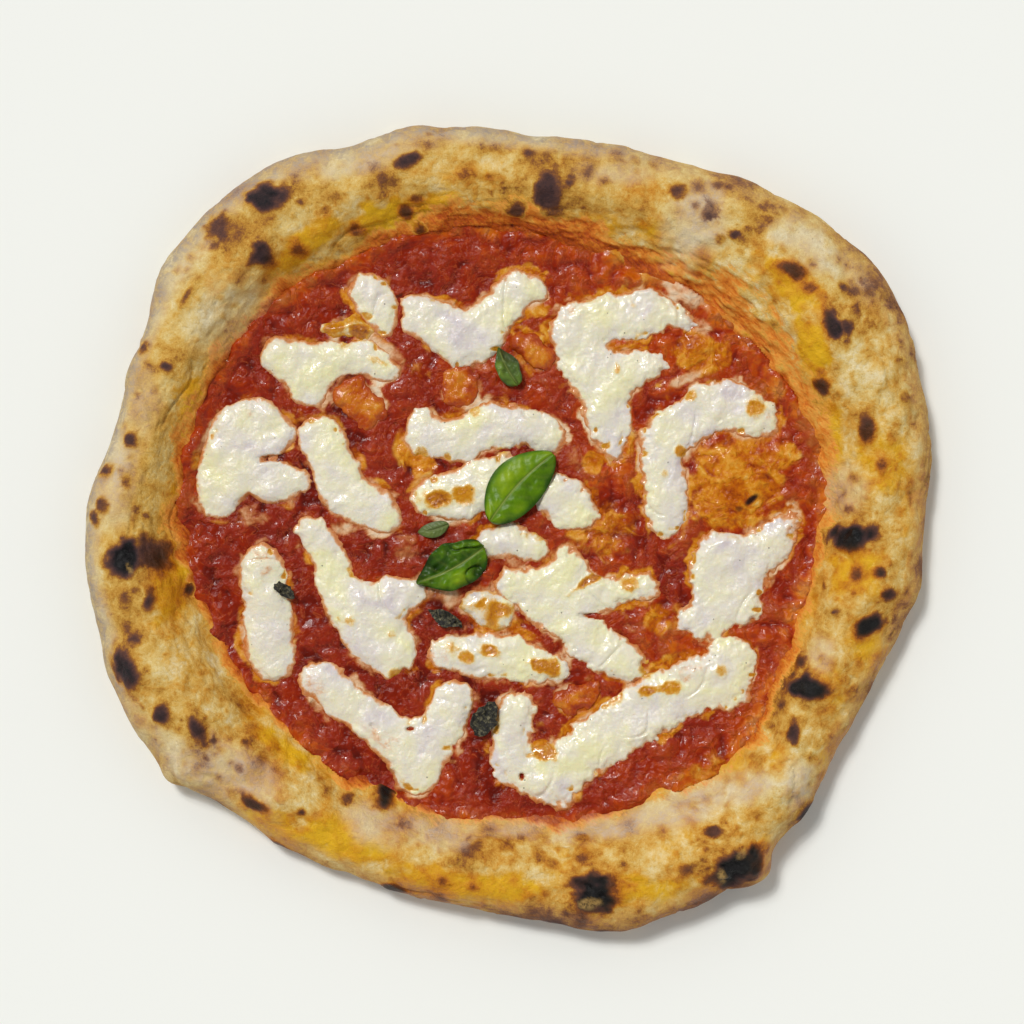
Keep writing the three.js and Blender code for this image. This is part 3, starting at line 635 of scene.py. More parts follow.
def crust_material():
    """Baked wheat dough: pale crumb that browned, blistered and burnt in a wood oven, with flour on it;
    painted shade greys its outer edge and deepens the glaze in its wrinkles, and the bake it reads holds
    painted light and shade on its sides.
    """
    material, tree, shader = new_material("baked_dough", Roughness=0.75, Specular_IOR_Level=0.3)
    fine = noise(tree, 1.5, 5, 0.7)
    grain = noise(tree, 0.55, 3, 0.6)
    mottle = noise(tree, 4.5, 4, 0.6, 0.5)
    leopard = spread(tree, unevenly(tree, noise(tree, 26, 2, 0.5, 0.3), mottle, 0.2), 0.5, 0.72, 0.0, 0.5)
    leopard = calc(tree, "ADD", leopard, spread(tree, noise(tree, 9, 1, 0.5), 0.55, 0.75, 0.0, 0.3))
    bake = calc(tree, "ADD", value_of(tree, "bake"), times(tree, value_of(tree, "under"), leopard))
    push = unevenly(tree, unevenly(tree, unevenly(tree, 0.0, fine, 0.44), mottle, 0.4), grain, 0.28)
    level = calc(tree, "ADD", bake, times(tree, push, spread(tree, bake, 0.5, 0.82, 1.0, 0.35)))
    dough = ramp(tree, level, [
        (0.0, "#ecdcb0"), (0.2, "#dfc27a"), (0.36, "#d2a54c"), (0.5, "#ba842c"),
        (0.62, "#8a5524"), (0.73, "#5f3b2f"), (0.84, "#3d2828"), (0.93, "#1d1619"), (1.0, "#060506")])
    oil = unevenly(tree, unevenly(tree, value_of(tree, "oil"), mottle, 0.9), fine, 0.3)
    oil = spread(tree, oil, 0.1, 0.9)
    dough = mixed(tree, oil, dough, colour("#f6cc1c"), "MULTIPLY")
    scale = noise(tree, 2.8, 4, 0.6, 0.9, heading=45)
    soaked = value_of(tree, "stain")
    # Painted shade: the stain deepens in the hollows of the scale bumps and pales on their ridges
    stain = unevenly(tree, unevenly(tree, soaked, mottle, 0.3), scale, -0.8)
    stain = times(tree, stain, spread(tree, soaked, 0.0, 0.14))
    glaze = ramp(tree, stain, [
        (0.1, "#e4a820"), (0.28, "#eba343"), (0.46, "#e08322"), (0.64, "#c65a0a"), (0.92, "#8c2208")])
    dough = mixed(tree, spread(tree, stain, 0.06, 0.34), dough, glaze)
    # Flour, with painted shade of the outer edge in the same grey
    dust_and_shade = times(tree, value_of(tree, "flour"), spread(tree, fine, 0.25, 0.65, 0.42, 0.9))
    dust_and_shade = times(tree, dust_and_shade, spread(tree, mottle, 0.33, 0.6, 0.5, 1.0))
    dust_and_shade = times(tree, dust_and_shade, spread(tree, level, 0.5, 0.8, 1.0, 0.1))
    # Pale flour grey that turns darker at the outer edge: flour, and painted shade there
    flour_and_edge_shade = ramp(tree, value_of(tree, "edge"), [(0.0, "#d2c7b4"), (1.0, "#978d87")])
    dough = mixed(tree, dust_and_shade, dough, flour_and_edge_shade)
    ash = times(tree, value_of(tree, "crumb"), spread(tree, fine, 0.3, 0.6))
    dough = mixed(tree, ash, dough, colour("#a98649"))
    tree.links.new(dough, shader.inputs["Base Color"])
    wet = calc(tree, "MAXIMUM", times(tree, oil, 0.6), stain)
    shiny = calc(tree, "MAXIMUM", wet, spread(tree, bake, 0.98, 1.02))
    tree.links.new(spread(tree, shiny, 0.1, 0.8, 0.78, 0.34), shader.inputs["Roughness"])
    bumped(tree, shader, [(mottle, 0.7), (times(tree, scale, soaked), 1.7), (fine, 0.6), (grain, 0.22)])
    return material


def sauce_material():
    """Cooked tomato: clumps of grainy pulp in red and orange oil, wet, with milky films from the cheese, and
    pale lines of painted highlight round the clumps.
    """
    material, tree, shader = new_material(
        "cooked_tomato", Roughness=0.3, Specular_IOR_Level=0.15, Coat_Weight=0.13, Coat_Roughness=0.06)
    flow = noise(tree, 8, 4, 0.55, 0.8)
    grains = noise(tree, 0.85, 2, 0.7)
    fine = noise(tree, 2.2, 3, 0.6, 0.4)
    facets = cells(tree, 2.4)
    tone = unevenly(tree, unevenly(tree, value_of(tree, "tone"), flow, 0.7), fine, 0.25)
    red = ramp(tree, tone, [
        (0.0, "#430a03"), (0.25, "#6c1404"), (0.45, "#8f2305"), (0.62, "#ac3d07"), (0.8, "#c4640e"),
        (1.0, "#dc9a44")])
    clump = spread(tree, flow, 0.46, 0.53)
    pulp = mixed(tree, spread(tree, grains, 0.44, 0.68), colour("#74190a"), colour("#b04e2e"))
    pulp = mixed(tree, spread(tree, facets, 0.2, 0.75), pulp, colour("#8c2412"))
    red = mixed(tree, times(tree, clump, 0.6), red, pulp)
    # Painted highlight: pale lines along the edges of the clumps
    shore = spread(tree, calc(tree, "ABSOLUTE", calc(tree, "SUBTRACT", flow, 0.475)), 0.014, 0.0, 0.0, 0.4)
    red = mixed(tree, shore, red, colour("#bc5c2e"))
    grease = spread(tree, unevenly(tree, value_of(tree, "grease"), flow, 0.9), 0.25, 0.7)
    golden = ramp(tree, unevenly(tree, unevenly(tree, 0.5, flow, 1.1), fine, 0.45), [
        (0.25, "#862f04"), (0.4, "#b45a05"), (0.54, "#cc7e10"), (0.68, "#d99a36"), (0.8, "#e0b86a")])
    red = mixed(tree, grease, red, golden)
    film = unevenly(tree, unevenly(tree, value_of(tree, "film"), fine, 0.3), flow, 1.0)
    milk = ramp(tree, film, [(0.3, "#c2601f"), (0.5, "#d08c50"), (0.75, "#dcb48c"), (1.0, "#e2d2b6")])
    red = mixed(tree, spread(tree, film, 0.25, 0.8), red, milk)
    red = mixed(tree, value_of(tree, "scorch"), red, colour("#2a120b"))
    tree.links.new(red, shader.inputs["Base Color"])
    bumped(tree, shader, [(flow, 1.0), (fine, 0.35), (facets, 0.45), (times(tree, grains, clump), 0.22)])
    return material


def mozzarella_material():
    """Fresh mozzarella that melted and set: milky, oily, toasted where it rose and flecked with pepper."""
    material, tree, shader = new_material(
        "melted_mozzarella", Roughness=0.28, Subsurface_Weight=0.3, Subsurface_Radius=(1.0, 0.75, 0.5),
        Subsurface_Scale=0.001, Specular_IOR_Level=0.4, Coat_Weight=0.45, Coat_Roughness=0.05)
    cloud = noise(tree, 16, 3, 0.5, 0.5)
    curd = noise(tree, 4, 4, 0.6, 0.4)
    fine = noise(tree, 1.2, 4, 0.62, 0.3)
    milk = ramp(tree, unevenly(tree, cloud, curd, 0.35), [
        (0.26, "#d3c9c8"), (0.38, "#e0d9cd"), (0.54, "#e6e0c4"), (0.7, "#e8e3b4")])
    thin = unevenly(tree, unevenly(tree, value_of(tree, "thin"), curd, 0.6), fine, 0.7)
    tint = ramp(tree, thin, [(0.3, "#e2d0c4"), (0.55, "#debb9c"), (0.78, "#d6a06c"), (1.0, "#c97c40")])
    milk = mixed(tree, spread(tree, thin, 0.3, 0.8), milk, tint)
    toast = unevenly(tree, unevenly(tree, value_of(tree, "toast"), fine, 0.5), curd, 0.45)
    brown = ramp(tree, toast, [
        (0.3, "#e6cc7c"), (0.46, "#d9a62c"), (0.68, "#c98608"), (0.86, "#b06804"), (1.0, "#7e3c06")])
    milk = mixed(tree, spread(tree, toast, 0.12, 0.66), milk, brown)
    fleck = times(tree, spread(tree, cells(tree, 5.5), 0.075, 0.04), spread(tree, curd, 0.42, 0.5))
    milk = mixed(tree, times(tree, fleck, 0.75), milk, colour("#57513f"))
    tree.links.new(milk, shader.inputs["Base Color"])
    bumped(tree, shader, [(curd, 0.42), (noise(tree, 2.2, 2, 0.5, 0.3), 0.26), (fine, 0.2)])
    return material


def tomato_material():
    """Soft peeled tomato: orange flesh with a red underside that shows through, slick with oil."""
    material, tree, shader = new_material(
        "soft_tomato", Roughness=0.2, Specular_IOR_Level=0.3, Coat_Weight=0.15, Coat_Roughness=0.05)
    flesh = noise(tree, 6, 4, 0.6, 0.5)
    fibre = noise(tree, 1.4, 3, 0.6, 0.8)
    tone = unevenly(tree, unevenly(tree, value_of(tree, "tone"), flesh, 1.0), fibre, 0.5)
    base = ramp(tree, tone, [
        (0.1, "#8a2206"), (0.35, "#ab4408"), (0.55, "#c0640e"), (0.75, "#cc7e1c"), (0.95, "#d8a454")])
    tree.links.new(base, shader.inputs["Base Color"])
    bumped(tree, shader, [(flesh, 0.6), (fibre, 0.35)])
    return material


def basil_material():
    """Fresh basil: a waxy upper side and paler veins, with painted light and shade in its green: lighter on
    one half, on its ridges and between the veins, darker in the midrib's groove and at the rim.
    """
    material, tree, shader = new_material("fresh_basil", Roughness=0.36, Specular_IOR_Level=0.2)
    blotch = noise(tree, 6, 4, 0.55)
    fine = noise(tree, 0.8, 3, 0.6)
    tone = unevenly(tree, unevenly(tree, value_of(tree, "light"), blotch, 0.5), fine, 0.12)
    green = ramp(tree, tone, [
        (0.0, "#102606"), (0.25, "#2a4c04"), (0.5, "#557a04"), (0.75, "#86a010"), (1.0, "#a8b44a")])
    green = mixed(tree, times(tree, value_of(tree, "vein"), 0.5), green, colour("#a3b04c"))
    green = mixed(tree, value_of(tree, "wilt"), green, colour("#5c6440"))
    tree.links.new(green, shader.inputs["Base Color"])
    bumped(tree, shader, [(blotch, 0.3), (fine, 0.06)])
    return material


def burnt_leaf_material():
    """Basil that burnt to a crisp: near black, with grey and tan on its raised folds, partly ash and partly
    painted highlight.
    """
    material, tree, shader = new_material("burnt_basil", Roughness=0.5)
    ash = noise(tree, 1.2, 4, 0.65, 0.5)
    # Pale where the bump rises: grey ash and painted highlight on the folds
    base = ramp(tree, ash, [(0.3, "#080706"), (0.47, "#1a1810"), (0.57, "#4a4630"), (0.7, "#8a8060")])
    tree.links.new(base, shader.inputs["Base Color"])
    bumped(tree, shader, [(ash, 1.1)])
    return material


def floor_material():
    """Matt studio paper."""
    material, _, shader = new_material("pale_backdrop", Roughness=0.9, Specular_IOR_Level=0.0)
    shader.inputs["Base Color"].default_value = colour("#f0f1eb")
    return material


# Pieces


class PizzaSettings(bpy.types.PropertyGroup):
    crust_stations: IntProperty(
        name="Crust Stations", description="Steps round the crust", default=690, min=90, max=900)
    crust_steps: IntProperty(
        name="Crust Steps", description="Steps across the rim", default=118, min=20, max=200)
    relief: FloatProperty(
        name="Relief", description="Strength of the dough's bumps and creases", default=1.0, min=0.0,
        max=2.0, subtype="FACTOR")
    sauce_grain: FloatProperty(
        name="Sauce Grain", description="Spacing of the sauce's points", default=0.0007, min=0.0004,
        unit="LENGTH", precision=5)
    cheese_grain: FloatProperty(
        name="Cheese Grain", description="Spacing of the melted cheese's points", default=0.00045,
        min=0.0002, unit="LENGTH", precision=5)
    cheese_depth: FloatProperty(
        name="Cheese Depth", description="How high the cheese stands over the sauce", default=0.0027,
        unit="LENGTH", precision=5)
    key_light: FloatProperty(
        name="Key Light", description="Strength of the light from the upper left", default=1.8, min=0.0)
    glint_light: FloatProperty(
        name="Glint Light", description="Strength of the small light that makes wet places sparkle",
        default=0.35, min=0.0)
    sky_light: FloatProperty(
        name="Sky Light", description="Strength of the soft light from all sides", default=0.71, min=0.0)


class PIZZA_OT_crust(bpy.types.Operator):
    """Model the baked crust with its blisters, creases and char"""

    bl_idname = "pizza.crust"
    bl_label = "Baked Crust"

    def execute(self, context):
        settings = context.scene.pizza
        hub = hub_of("crust")
        sections = rim_sections(hub)
        inner, outer = sections[:, 0, 0], sections[:, :, 0].max(axis=1)
        count = settings.crust_stations
        places = np.linspace(0, len(sections), count, endpoint=False)
        steps = np.linalg.norm(np.diff(sections, axis=1), axis=2).mean(axis=0)
        length = np.concatenate([[0], np.cumsum(steps)])
        spots = np.interp(np.linspace(0, length[-1], settings.crust_steps), length, np.arange(len(length)))
        rim = cubic(cubic(sections, places, closed=True).swapaxes(0, 1), spots).swapaxes(0, 1)
        rim[..., 1] = np.maximum(rim[..., 1], 0)
        out = np.linspace(0, 1, FLOOR_RINGS, endpoint=False)[None, :, None]
        floor = rim[:, :1] * [[[0, 1]]] + out * rim[:, :1] * [[[1, 0]]]
        under = rim[:, -1:] * np.linspace(1, 0, UNDER_RINGS + 1)[None, 1:, None]
        rings = turned(np.concatenate([floor, rim, under], axis=1), hub, count)
        first, last = floor.shape[1], floor.shape[1] + rim.shape[1]

        # Where each point of the rim is: round it, across it, and how much of its top it belongs to
        band = rings[first:last]
        edges = cubic(np.stack([inner, outer], axis=1), places, closed=True)
        radius = np.hypot(band[..., 0] - hub[0], band[..., 1] - hub[1])
        turn = np.arctan2(band[..., 1] - hub[1], band[..., 0] - hub[0])
        in_from_edge = radius - edges[:, 0]
        share = in_from_edge / (edges[:, 1] - edges[:, 0])
        index = np.arange(last - first)[:, None]
        top_half = 0.7 * smooth(index, 0, 5) + 0.3 * smooth(index, 2, 12)
        top_half = top_half * (1 - smooth(index, last - first - 14, last - first - 4))

        # Relief of the dough
        normals = ring_normals(rings)[first:last]
        north_east = bell(turn, math.radians(45), math.radians(24))
        north = bell(turn, math.radians(76), math.radians(38), 4)
        slope = smooth(in_from_edge, 26, 16) * smooth(in_from_edge, 0, 5)
        foothill = smooth(in_from_edge, 19, 10) * smooth(in_from_edge, 0, 5)
        even = 1 - 0.6 * smooth(share, 0.85, 0.98)
        # Swellings, folds, the wrinkles of the inner slope, pits, and blisters with burst craters
        swell = 1.4 * hills(band, 16, 1) + even * (0.95 * hills(band, 7, 2) + 0.4 * rough(band, 3.2, 3))
        folds = -0.9 * creases(band, 19, 5, 0.07) * smooth(hills(band, 30, 6), -0.1, 0.4)
        folds -= 0.5 * creases(band, 9, 7, 0.1) * smooth(hills(band, 22, 8), 0, 0.5)
        polar = np.stack([1.5 * in_from_edge, turn * 48 + 0.3 * in_from_edge, 0 * turn], axis=-1)
        scales = np.abs(hills(polar, 3.2, 9)) + 0.6 * np.abs(hills(polar, 1.9, 10))
        wrinkled = np.maximum(north_east * slope, 0.75 * north * foothill)
        wrinkles = 2.0 * np.maximum(wrinkled, 0.1 * slope) * scales
        pits = -0.5 * smooth(hills(band, 2.6, 11), 0.5, 0.8)
        blisters, burn, halo = 0, np.zeros(band.shape[:2]), np.zeros(band.shape[:2])
        for away, strength in patchwork(band, RIM_SPOTS, 0.34):
            burst = smooth(strength, 1.0, 1.03)
            crater = burst * smooth(away, 0.75, 0.3) * (0.7 + 1.9 * hills(band, 3.8, 12))
            blisters = blisters + strength * smooth(away, 1.3, 0.5) * 0.6 - 1.3 * crater
            burn = np.maximum(burn, (strength - 0.06 * (strength < 1)) * smooth(away, 1.65, 0.2))
            halo = np.maximum(halo, strength * smooth(away, 2.2, 0.9))

        freckles = self.freckles(band, share)
        bulge = settings.relief * top_half * (swell + folds + wrinkles + pits + blisters + 0.35 * freckles)
        band = band + normals * bulge[..., None]
        band[..., 2] = np.clip(band[..., 2], 0, CAD_BOX[1].z / MM + 0.5)
        rings[first:last] = band
        underside = rings[last:-1]
        underside[..., 2] = 0.5 * smooth(hills(underside, 28, 14), -0.2, 0.9)
        rings[last:-1] = underside

        piece, (row, column) = joined_rings("crust_baked", rings)
        # Baking, flour, oil and sauce on the dough, which the shader reads; painted light and shade ride on
        # the baking, the flour and the stain
        crown = smooth(share, 0.1, 0.4) * smooth(share, 1.0, 0.8)
        right = smooth(np.cos(turn + math.radians(8)), 0.1, 0.95)
        low = smooth(-np.sin(turn), 0.1, 0.9)
        south_west = smooth(np.cos(turn + math.radians(142)), 0.8, 0.97)
        brown = 0.32 + 0.13 * hills(band, 24, 20) + 0.17 * hills(band, 9, 21) + 0.12 * hills(band, 4, 22)
        # Painted light: the crown is lighter on the right, which faces away from the key light; the other
        # terms here are the dough's own browning
        brown = brown + (0.06 * low + 0.06 * north - 0.1 * right) * crown - 0.08 * south_west
        # Painted shade: the outer edge is darker on the right and at the bottom
        brown = brown + 0.2 * np.maximum(right, low) * smooth(share, 0.8, 1)
        yellow = spotted(band, YELLOW, 0.65, waver=0.3)
        brown = brown + 0.4 * freckles + 0.08 * halo - 0.2 * yellow
        brown = np.maximum(brown, burn * (1 + 0.04 * hills(band, 3, 24)))
        pale = spotted(band, PALE, 0.6, waver=0.3)
        # Flour on the pale places and round the outer edge, more on the upper left and less on the wall;
        # round the edge its grey is also painted shade of the rim turning down
        cool = smooth(np.cos(turn - math.radians(140)), 0.1, 0.6)
        wall = smooth(band[..., 2], 13, 4)
        flour = np.maximum(0.88 * pale, smooth(share, 0.78, 0.95) * (0.25 + 0.75 * cool) * (1 - 0.6 * wall))
        fringe = low * smooth(in_from_edge + 2 * hills(band, 5, 31), 10, 3.5)
        flour = flour * (1 - smooth(burn, 0.2, 0.55)) * (1 - 0.8 * freckles) * (1 - 0.8 * fringe)
        oily = np.maximum(yellow, smooth(in_from_edge, 16, 5) * (0.6 + 0.5 * hills(band, 14, 27)))
        sheen = 0.42 * np.maximum(low, 0.7 * right) + 0.25 * hills(band, 12, 28)
        oily = np.maximum(oily * (1 - 0.75 * pale), sheen)
        east = bell(turn, math.radians(4), math.radians(26))
        reach = 8 + 3.6 * hills(band, 13, 29) + 2.4 * hills(band, 5, 30)
        reach = reach + np.maximum(14 * north_east, 5 * north) + 2.5 * east - 2.5 * low
        stain = (0.7 - 0.3 * east) * smooth(in_from_edge, reach * 1.35, 0.3 * reach)
        stain = stain * (1 - 0.35 * north_east * smooth(in_from_edge, 2, 8))
        # Painted shade: the sauce's stain runs deeper in the hollows of the wrinkles and paler on their
        # ridges
        stain = stain + wrinkled * (0.2 - 0.46 * scales) * smooth(in_from_edge, 1, 6)
        stain = np.maximum(stain * (1 - 0.65 * pale * (1 - fringe)), 0.24 * fringe)
        stain = stain * (1 - smooth(burn, 0.25, 0.6)) * (1 - 0.7 * freckles)

        flat_under = rings[last:]
        scorched = 0.4 + 0.08 * hills(flat_under, 45, 30)
        none = np.zeros(flat_under.shape[:2])
        beneath = smooth(index, last - first - 9, last - first) + 0 * turn
        # Each value on the floor, on the rim and on the underside
        values = {
            "bake": (0.3, brown, scorched),
            "under": (0, beneath, none + 1),
            "flour": (0, flour, none + 0.5),
            "oil": (0.5, np.clip(oily, 0, 1), none),
            "stain": (1, np.clip(stain, 0, 1), none),
            # Nearness to the outer edge, by which the flour's grey darkens there as painted shade
            "edge": (0, smooth(share, 0.8, 0.99), none),
            "crumb": (0, spotted(band, CRUMB_SPOTS, 0.3), none),
        }
        for name, (on_floor, on_rim, on_underside) in values.items():
            full = np.concatenate([np.full((first, count), on_floor), on_rim, on_underside])
            write_values(piece.data, **{name: full[row, column]})
        weld(piece, 0.02)
        dressed(piece, ["crust"], crust_material())
        return {"FINISHED"}

    def freckles(self, band, share):
        """Small browned blisters, close together on the right side and sparse on the left."""
        rng = np.random.default_rng(77)
        candidates = rng.uniform(-FRECKLE_TO, FRECKLE_TO, (FRECKLE_TRIES, 2))
        bearing = np.degrees(np.arctan2(candidates[:, 1], candidates[:, 0]))
        crowd = 0.24 + 0.5 * bell(bearing, 10, 60) + 0.25 * (candidates[:, 1] < -60)
        crowd += 0.9 * bell(bearing, -8, 11) + 0.5 * bell(bearing, 35, 12)
        thick = hills(np.column_stack([candidates, np.zeros(len(candidates))]), 20, 33)
        kept = candidates[rng.uniform(0, 1, len(candidates)) < crowd * (1 + 0.9 * thick)]
        radius = np.hypot(kept[:, 0], kept[:, 1])
        kept = kept[(radius > FRECKLE_FROM) & (radius < FRECKLE_TO)]
        size = rng.gamma(2.2, 0.5, len(kept)) + 0.55
        dark = rng.uniform(0.25, 0.85, len(kept)) * np.minimum(1, 0.5 + size / 4)
        tree = KDTree(len(kept))
        for k, (x, y) in enumerate(kept):
            tree.insert((x, y, 0), k)
        tree.balance()
        wander = np.stack([hills(band, 1.8, 34), hills(band, 1.8, 35)], axis=-1) * 0.7
        flat = (band[..., :2] + wander).reshape(-1, 2)
        marks = np.zeros(len(flat))
        reach = size * 1.4
        for k, (x, y) in enumerate(flat):
            for _, which, away in tree.find_n((x, y, 0), 2):
                if away < reach[which]:
                    marks[k] = max(marks[k], dark[which] * (1 - (away / reach[which]) ** 2) ** 1.5)
        return marks.reshape(band.shape[:2]) * smooth(share, 0.1, 0.3) * smooth(share, 1.02, 0.85)


class PIZZA_OT_sauce(bpy.types.Operator):
    """Model the tomato sauce with its pulp, its grease and the thin films of cheese on it"""

    bl_idname = "pizza.sauce"
    bl_label = "Tomato Sauce"

    def execute(self, context):
        hub = hub_of("sauce")
        radius, _, station, count = stations_of("sauce", hub)
        far = np.array([radius[station == k].max() for k in range(count)])
        grain = context.scene.pizza.sauce_grain / MM
        piece, points = sheet_round("sauce", "_cooked", SAUCE_MARGIN, grain)
        reach = np.hypot(points[:, 0] - hub[0], points[:, 1] - hub[1])
        bearing = np.degrees(np.arctan2(points[:, 1] - hub[1], points[:, 0] - hub[0])) % 360
        edge = cubic(far[:, None], bearing / 360 * count, closed=True)[:, 0]
        inside = edge - reach
        held = hub + (points[:, :2] - hub) * np.minimum(1, (edge - 0.4) / np.maximum(reach, 1))[:, None]
        level = height_on(tree_of("sauce"), held, SAUCE_SHORE)
        level = level + 0.5 * smooth(inside, 5, 0) - 0.9 * spotted(points, DIPS)

        tomato = np.max([depth_inside(points, outline_of(name)) for name in nodes_of("tomato")], axis=0)
        covered = np.maximum(cheese_depth(points), tomato)
        film = spotted(points, FILMS, 0.6, waver=0.4)
        free = (smooth(covered, -0.4, -4.5) * 0.8 + 0.2) * (1 - 0.5 * film)
        pulp = 1.6 * np.abs(hills(points, 8.5, 40)) + 1.0 * np.abs(hills(points, 4.3, 41))
        pulp += 0.5 * np.abs(hills(points, 2.2, 42)) - 0.65 + 0.5 * hills(points, 13, 43)
        grease = spotted(points, GREASE, 0.45)
        halo = smooth(covered + 1.3 * rough(points, 4, 51), -4, -0.5) * (
            0.05 + 0.35 * smooth(points[:, 0], -20, 40) + 1.2 * hills(points, 9, 52))
        grease = np.maximum(grease, 0.85 * halo)
        calm = 1 - 0.35 * smooth(grease, 0.3, 0.9)
        lip = smooth(inside, 6, 1)
        top = level + calm * free * (1 - 0.55 * lip) * pulp + lip * (
            2.0 * hills(points, 10, 44) + 1.1 * hills(points, 4, 45) + 0.4 * hills(points, 2, 53))
        top = np.where(covered > 0.5, np.minimum(top, SAUCE_UNDER_TOPPINGS), top)
        points[:, 2] = np.where(inside < -SAUCE_SPILL, SAUCE_FOOT, np.maximum(top, SAUCE_FOOT + 0.3))
        write_points(piece.data, points)

        # Painted shade and light: the sauce is darker in the creases of the pulp and lighter on its lumps
        crease_shade = smooth(pulp, 0.15, -0.45)
        warm = 0.16 * smooth(points[:, 0] + 0.4 * points[:, 1], -40, 90) + 0.12 * hills(points, 24, 46)
        shore = smooth(inside + 2.5 * hills(points, 8, 48), 6, 0)
        tone = 0.39 + 0.05 * smooth(points[:, 0], -10, 60) + warm + 0.12 * pulp - 0.14 * crease_shade + 0.2 * shore
        wisps = smooth(covered + 1.5 * rough(points, 4, 47), -3.2, 0.2) * (0.42 + 0.6 * hills(points, 8, 49))
        scorch = spotted(points, SCORCH, 0.3, waver=0.2)
        write_values(piece.data, tone=tone, grease=grease, film=np.maximum(film, wisps), scorch=scorch)
        trimmed(piece, inside < -SAUCE_SPILL - 0.9, SAUCE_FOOT)
        dressed(piece, ["sauce"], sauce_material())
        return {"FINISHED"}


class PIZZA_OT_tomato(bpy.types.Operator):
    """Model the soft tomato pieces"""

    bl_idname = "pizza.tomato"
    bl_label = "Tomato Pieces"

    def execute(self, context):
        material = tomato_material()
        for node in nodes_of("tomato"):
            piece, points = sheet_round(node, "_soft", MARGIN, 0.4)
            depth = depth_inside(points, outline_of(node))
            depth = depth + 2.2 * hills(points, 6, 60) + 1.3 * hills(points, 3, 61)
            depth = depth + 0.6 * hills(points, 1.4, 62)
            dome = 1.8 * np.sqrt(domed(depth))
            lumps = 0.8 * np.abs(hills(points, 6, 63)) + 0.7 * np.abs(hills(points, 2.8, 64)) - 0.3
            rise = dome * (0.85 + 0.25 * hills(points, 9, 65)) + smooth(depth, 0.4, 3) * lumps
            points[:, 2] = TOMATO_BASE + np.where(depth > 0, rise, 1.7 * depth)
            write_points(piece.data, points)
            write_values(piece.data, tone=0.3 + 0.26 * smooth(depth, 0, 5) + 0.3 * hills(points, 6, 66))
            trimmed(piece, depth < -1, SKIRT)
            dressed(piece, [node], material)
        return {"FINISHED"}


class PIZZA_OT_mozzarella(bpy.types.Operator):
    """Model the patches of melted mozzarella"""

    bl_idname = "pizza.mozzarella"
    bl_label = "Mozzarella"

    def execute(self, context):
        settings = context.scene.pizza
        material = mozzarella_material()
        for node in nodes_of("mozzarella"):
            piece, points = sheet_round(node, "_melted", MARGIN, settings.cheese_grain / MM)
            depth = cheese_depth(points, [node])
            bubbles = smooth(hills(points, 3.1, 76), 0.4, 0.7) * smooth(depth, 5, 1.5) * smooth(depth, 0, 1)
            bubbles = bubbles * smooth(hills(points, 18, 75), -0.25, 0.2)
            toast = 0.86 * spotted(points, TOAST, 0.55, waver=0.5)
            if "browned" in node:
                toast = np.maximum(toast, 0.4 + 0.4 * hills(points, 5, 84))
            full = settings.cheese_depth / MM * domed(depth) ** 0.9
            full = full * (0.84 + 0.2 * hills(points, 15, 77)) - 0.5 * bubbles
            soft = smooth(depth, 0.4, 3)
            waves = 0.6 * hills(points, 7, 78) + 0.28 * hills(points, 3.4, 79)
            waves = waves + 0.14 * rough(points, 1.7, 80, 2)
            seams = 0.8 * creases(points, 17, 82, 0.05) * smooth(hills(points, 16, 83), 0.1, 0.4)
            swollen = 0.25 * smooth(toast, 0.1, 0.4)
            rise = full + soft * (waves - seams + swollen - 0.4 * smooth(toast, 0.5, 0.9))
            even = depth_inside(points, outline_of(node))
            sunk = np.maximum(CHEESE_BASE + 1.6 * depth, np.where(even > 1.5, CHEESE_BASE - 0.2, SKIRT))
            points[:, 2] = np.where(depth > 0, CHEESE_BASE + np.maximum(rise, 0.05), sunk)
            write_points(piece.data, points)
            thin = smooth(depth + 0.9 * hills(points, 5, 86), 2.6, -0.2)
            tinted = spotted(points, THIN, 0.7, waver=0.5) * (0.62 + 0.3 * hills(points, 2.5, 87))
            thin = np.maximum(thin, tinted)
            write_values(piece.data, thin=thin + 0.35 * seams, toast=np.maximum(toast, 0.7 * bubbles))
            trimmed(piece, even < -3.2, SKIRT)
            dressed(piece, [node], material)
        return {"FINISHED"}


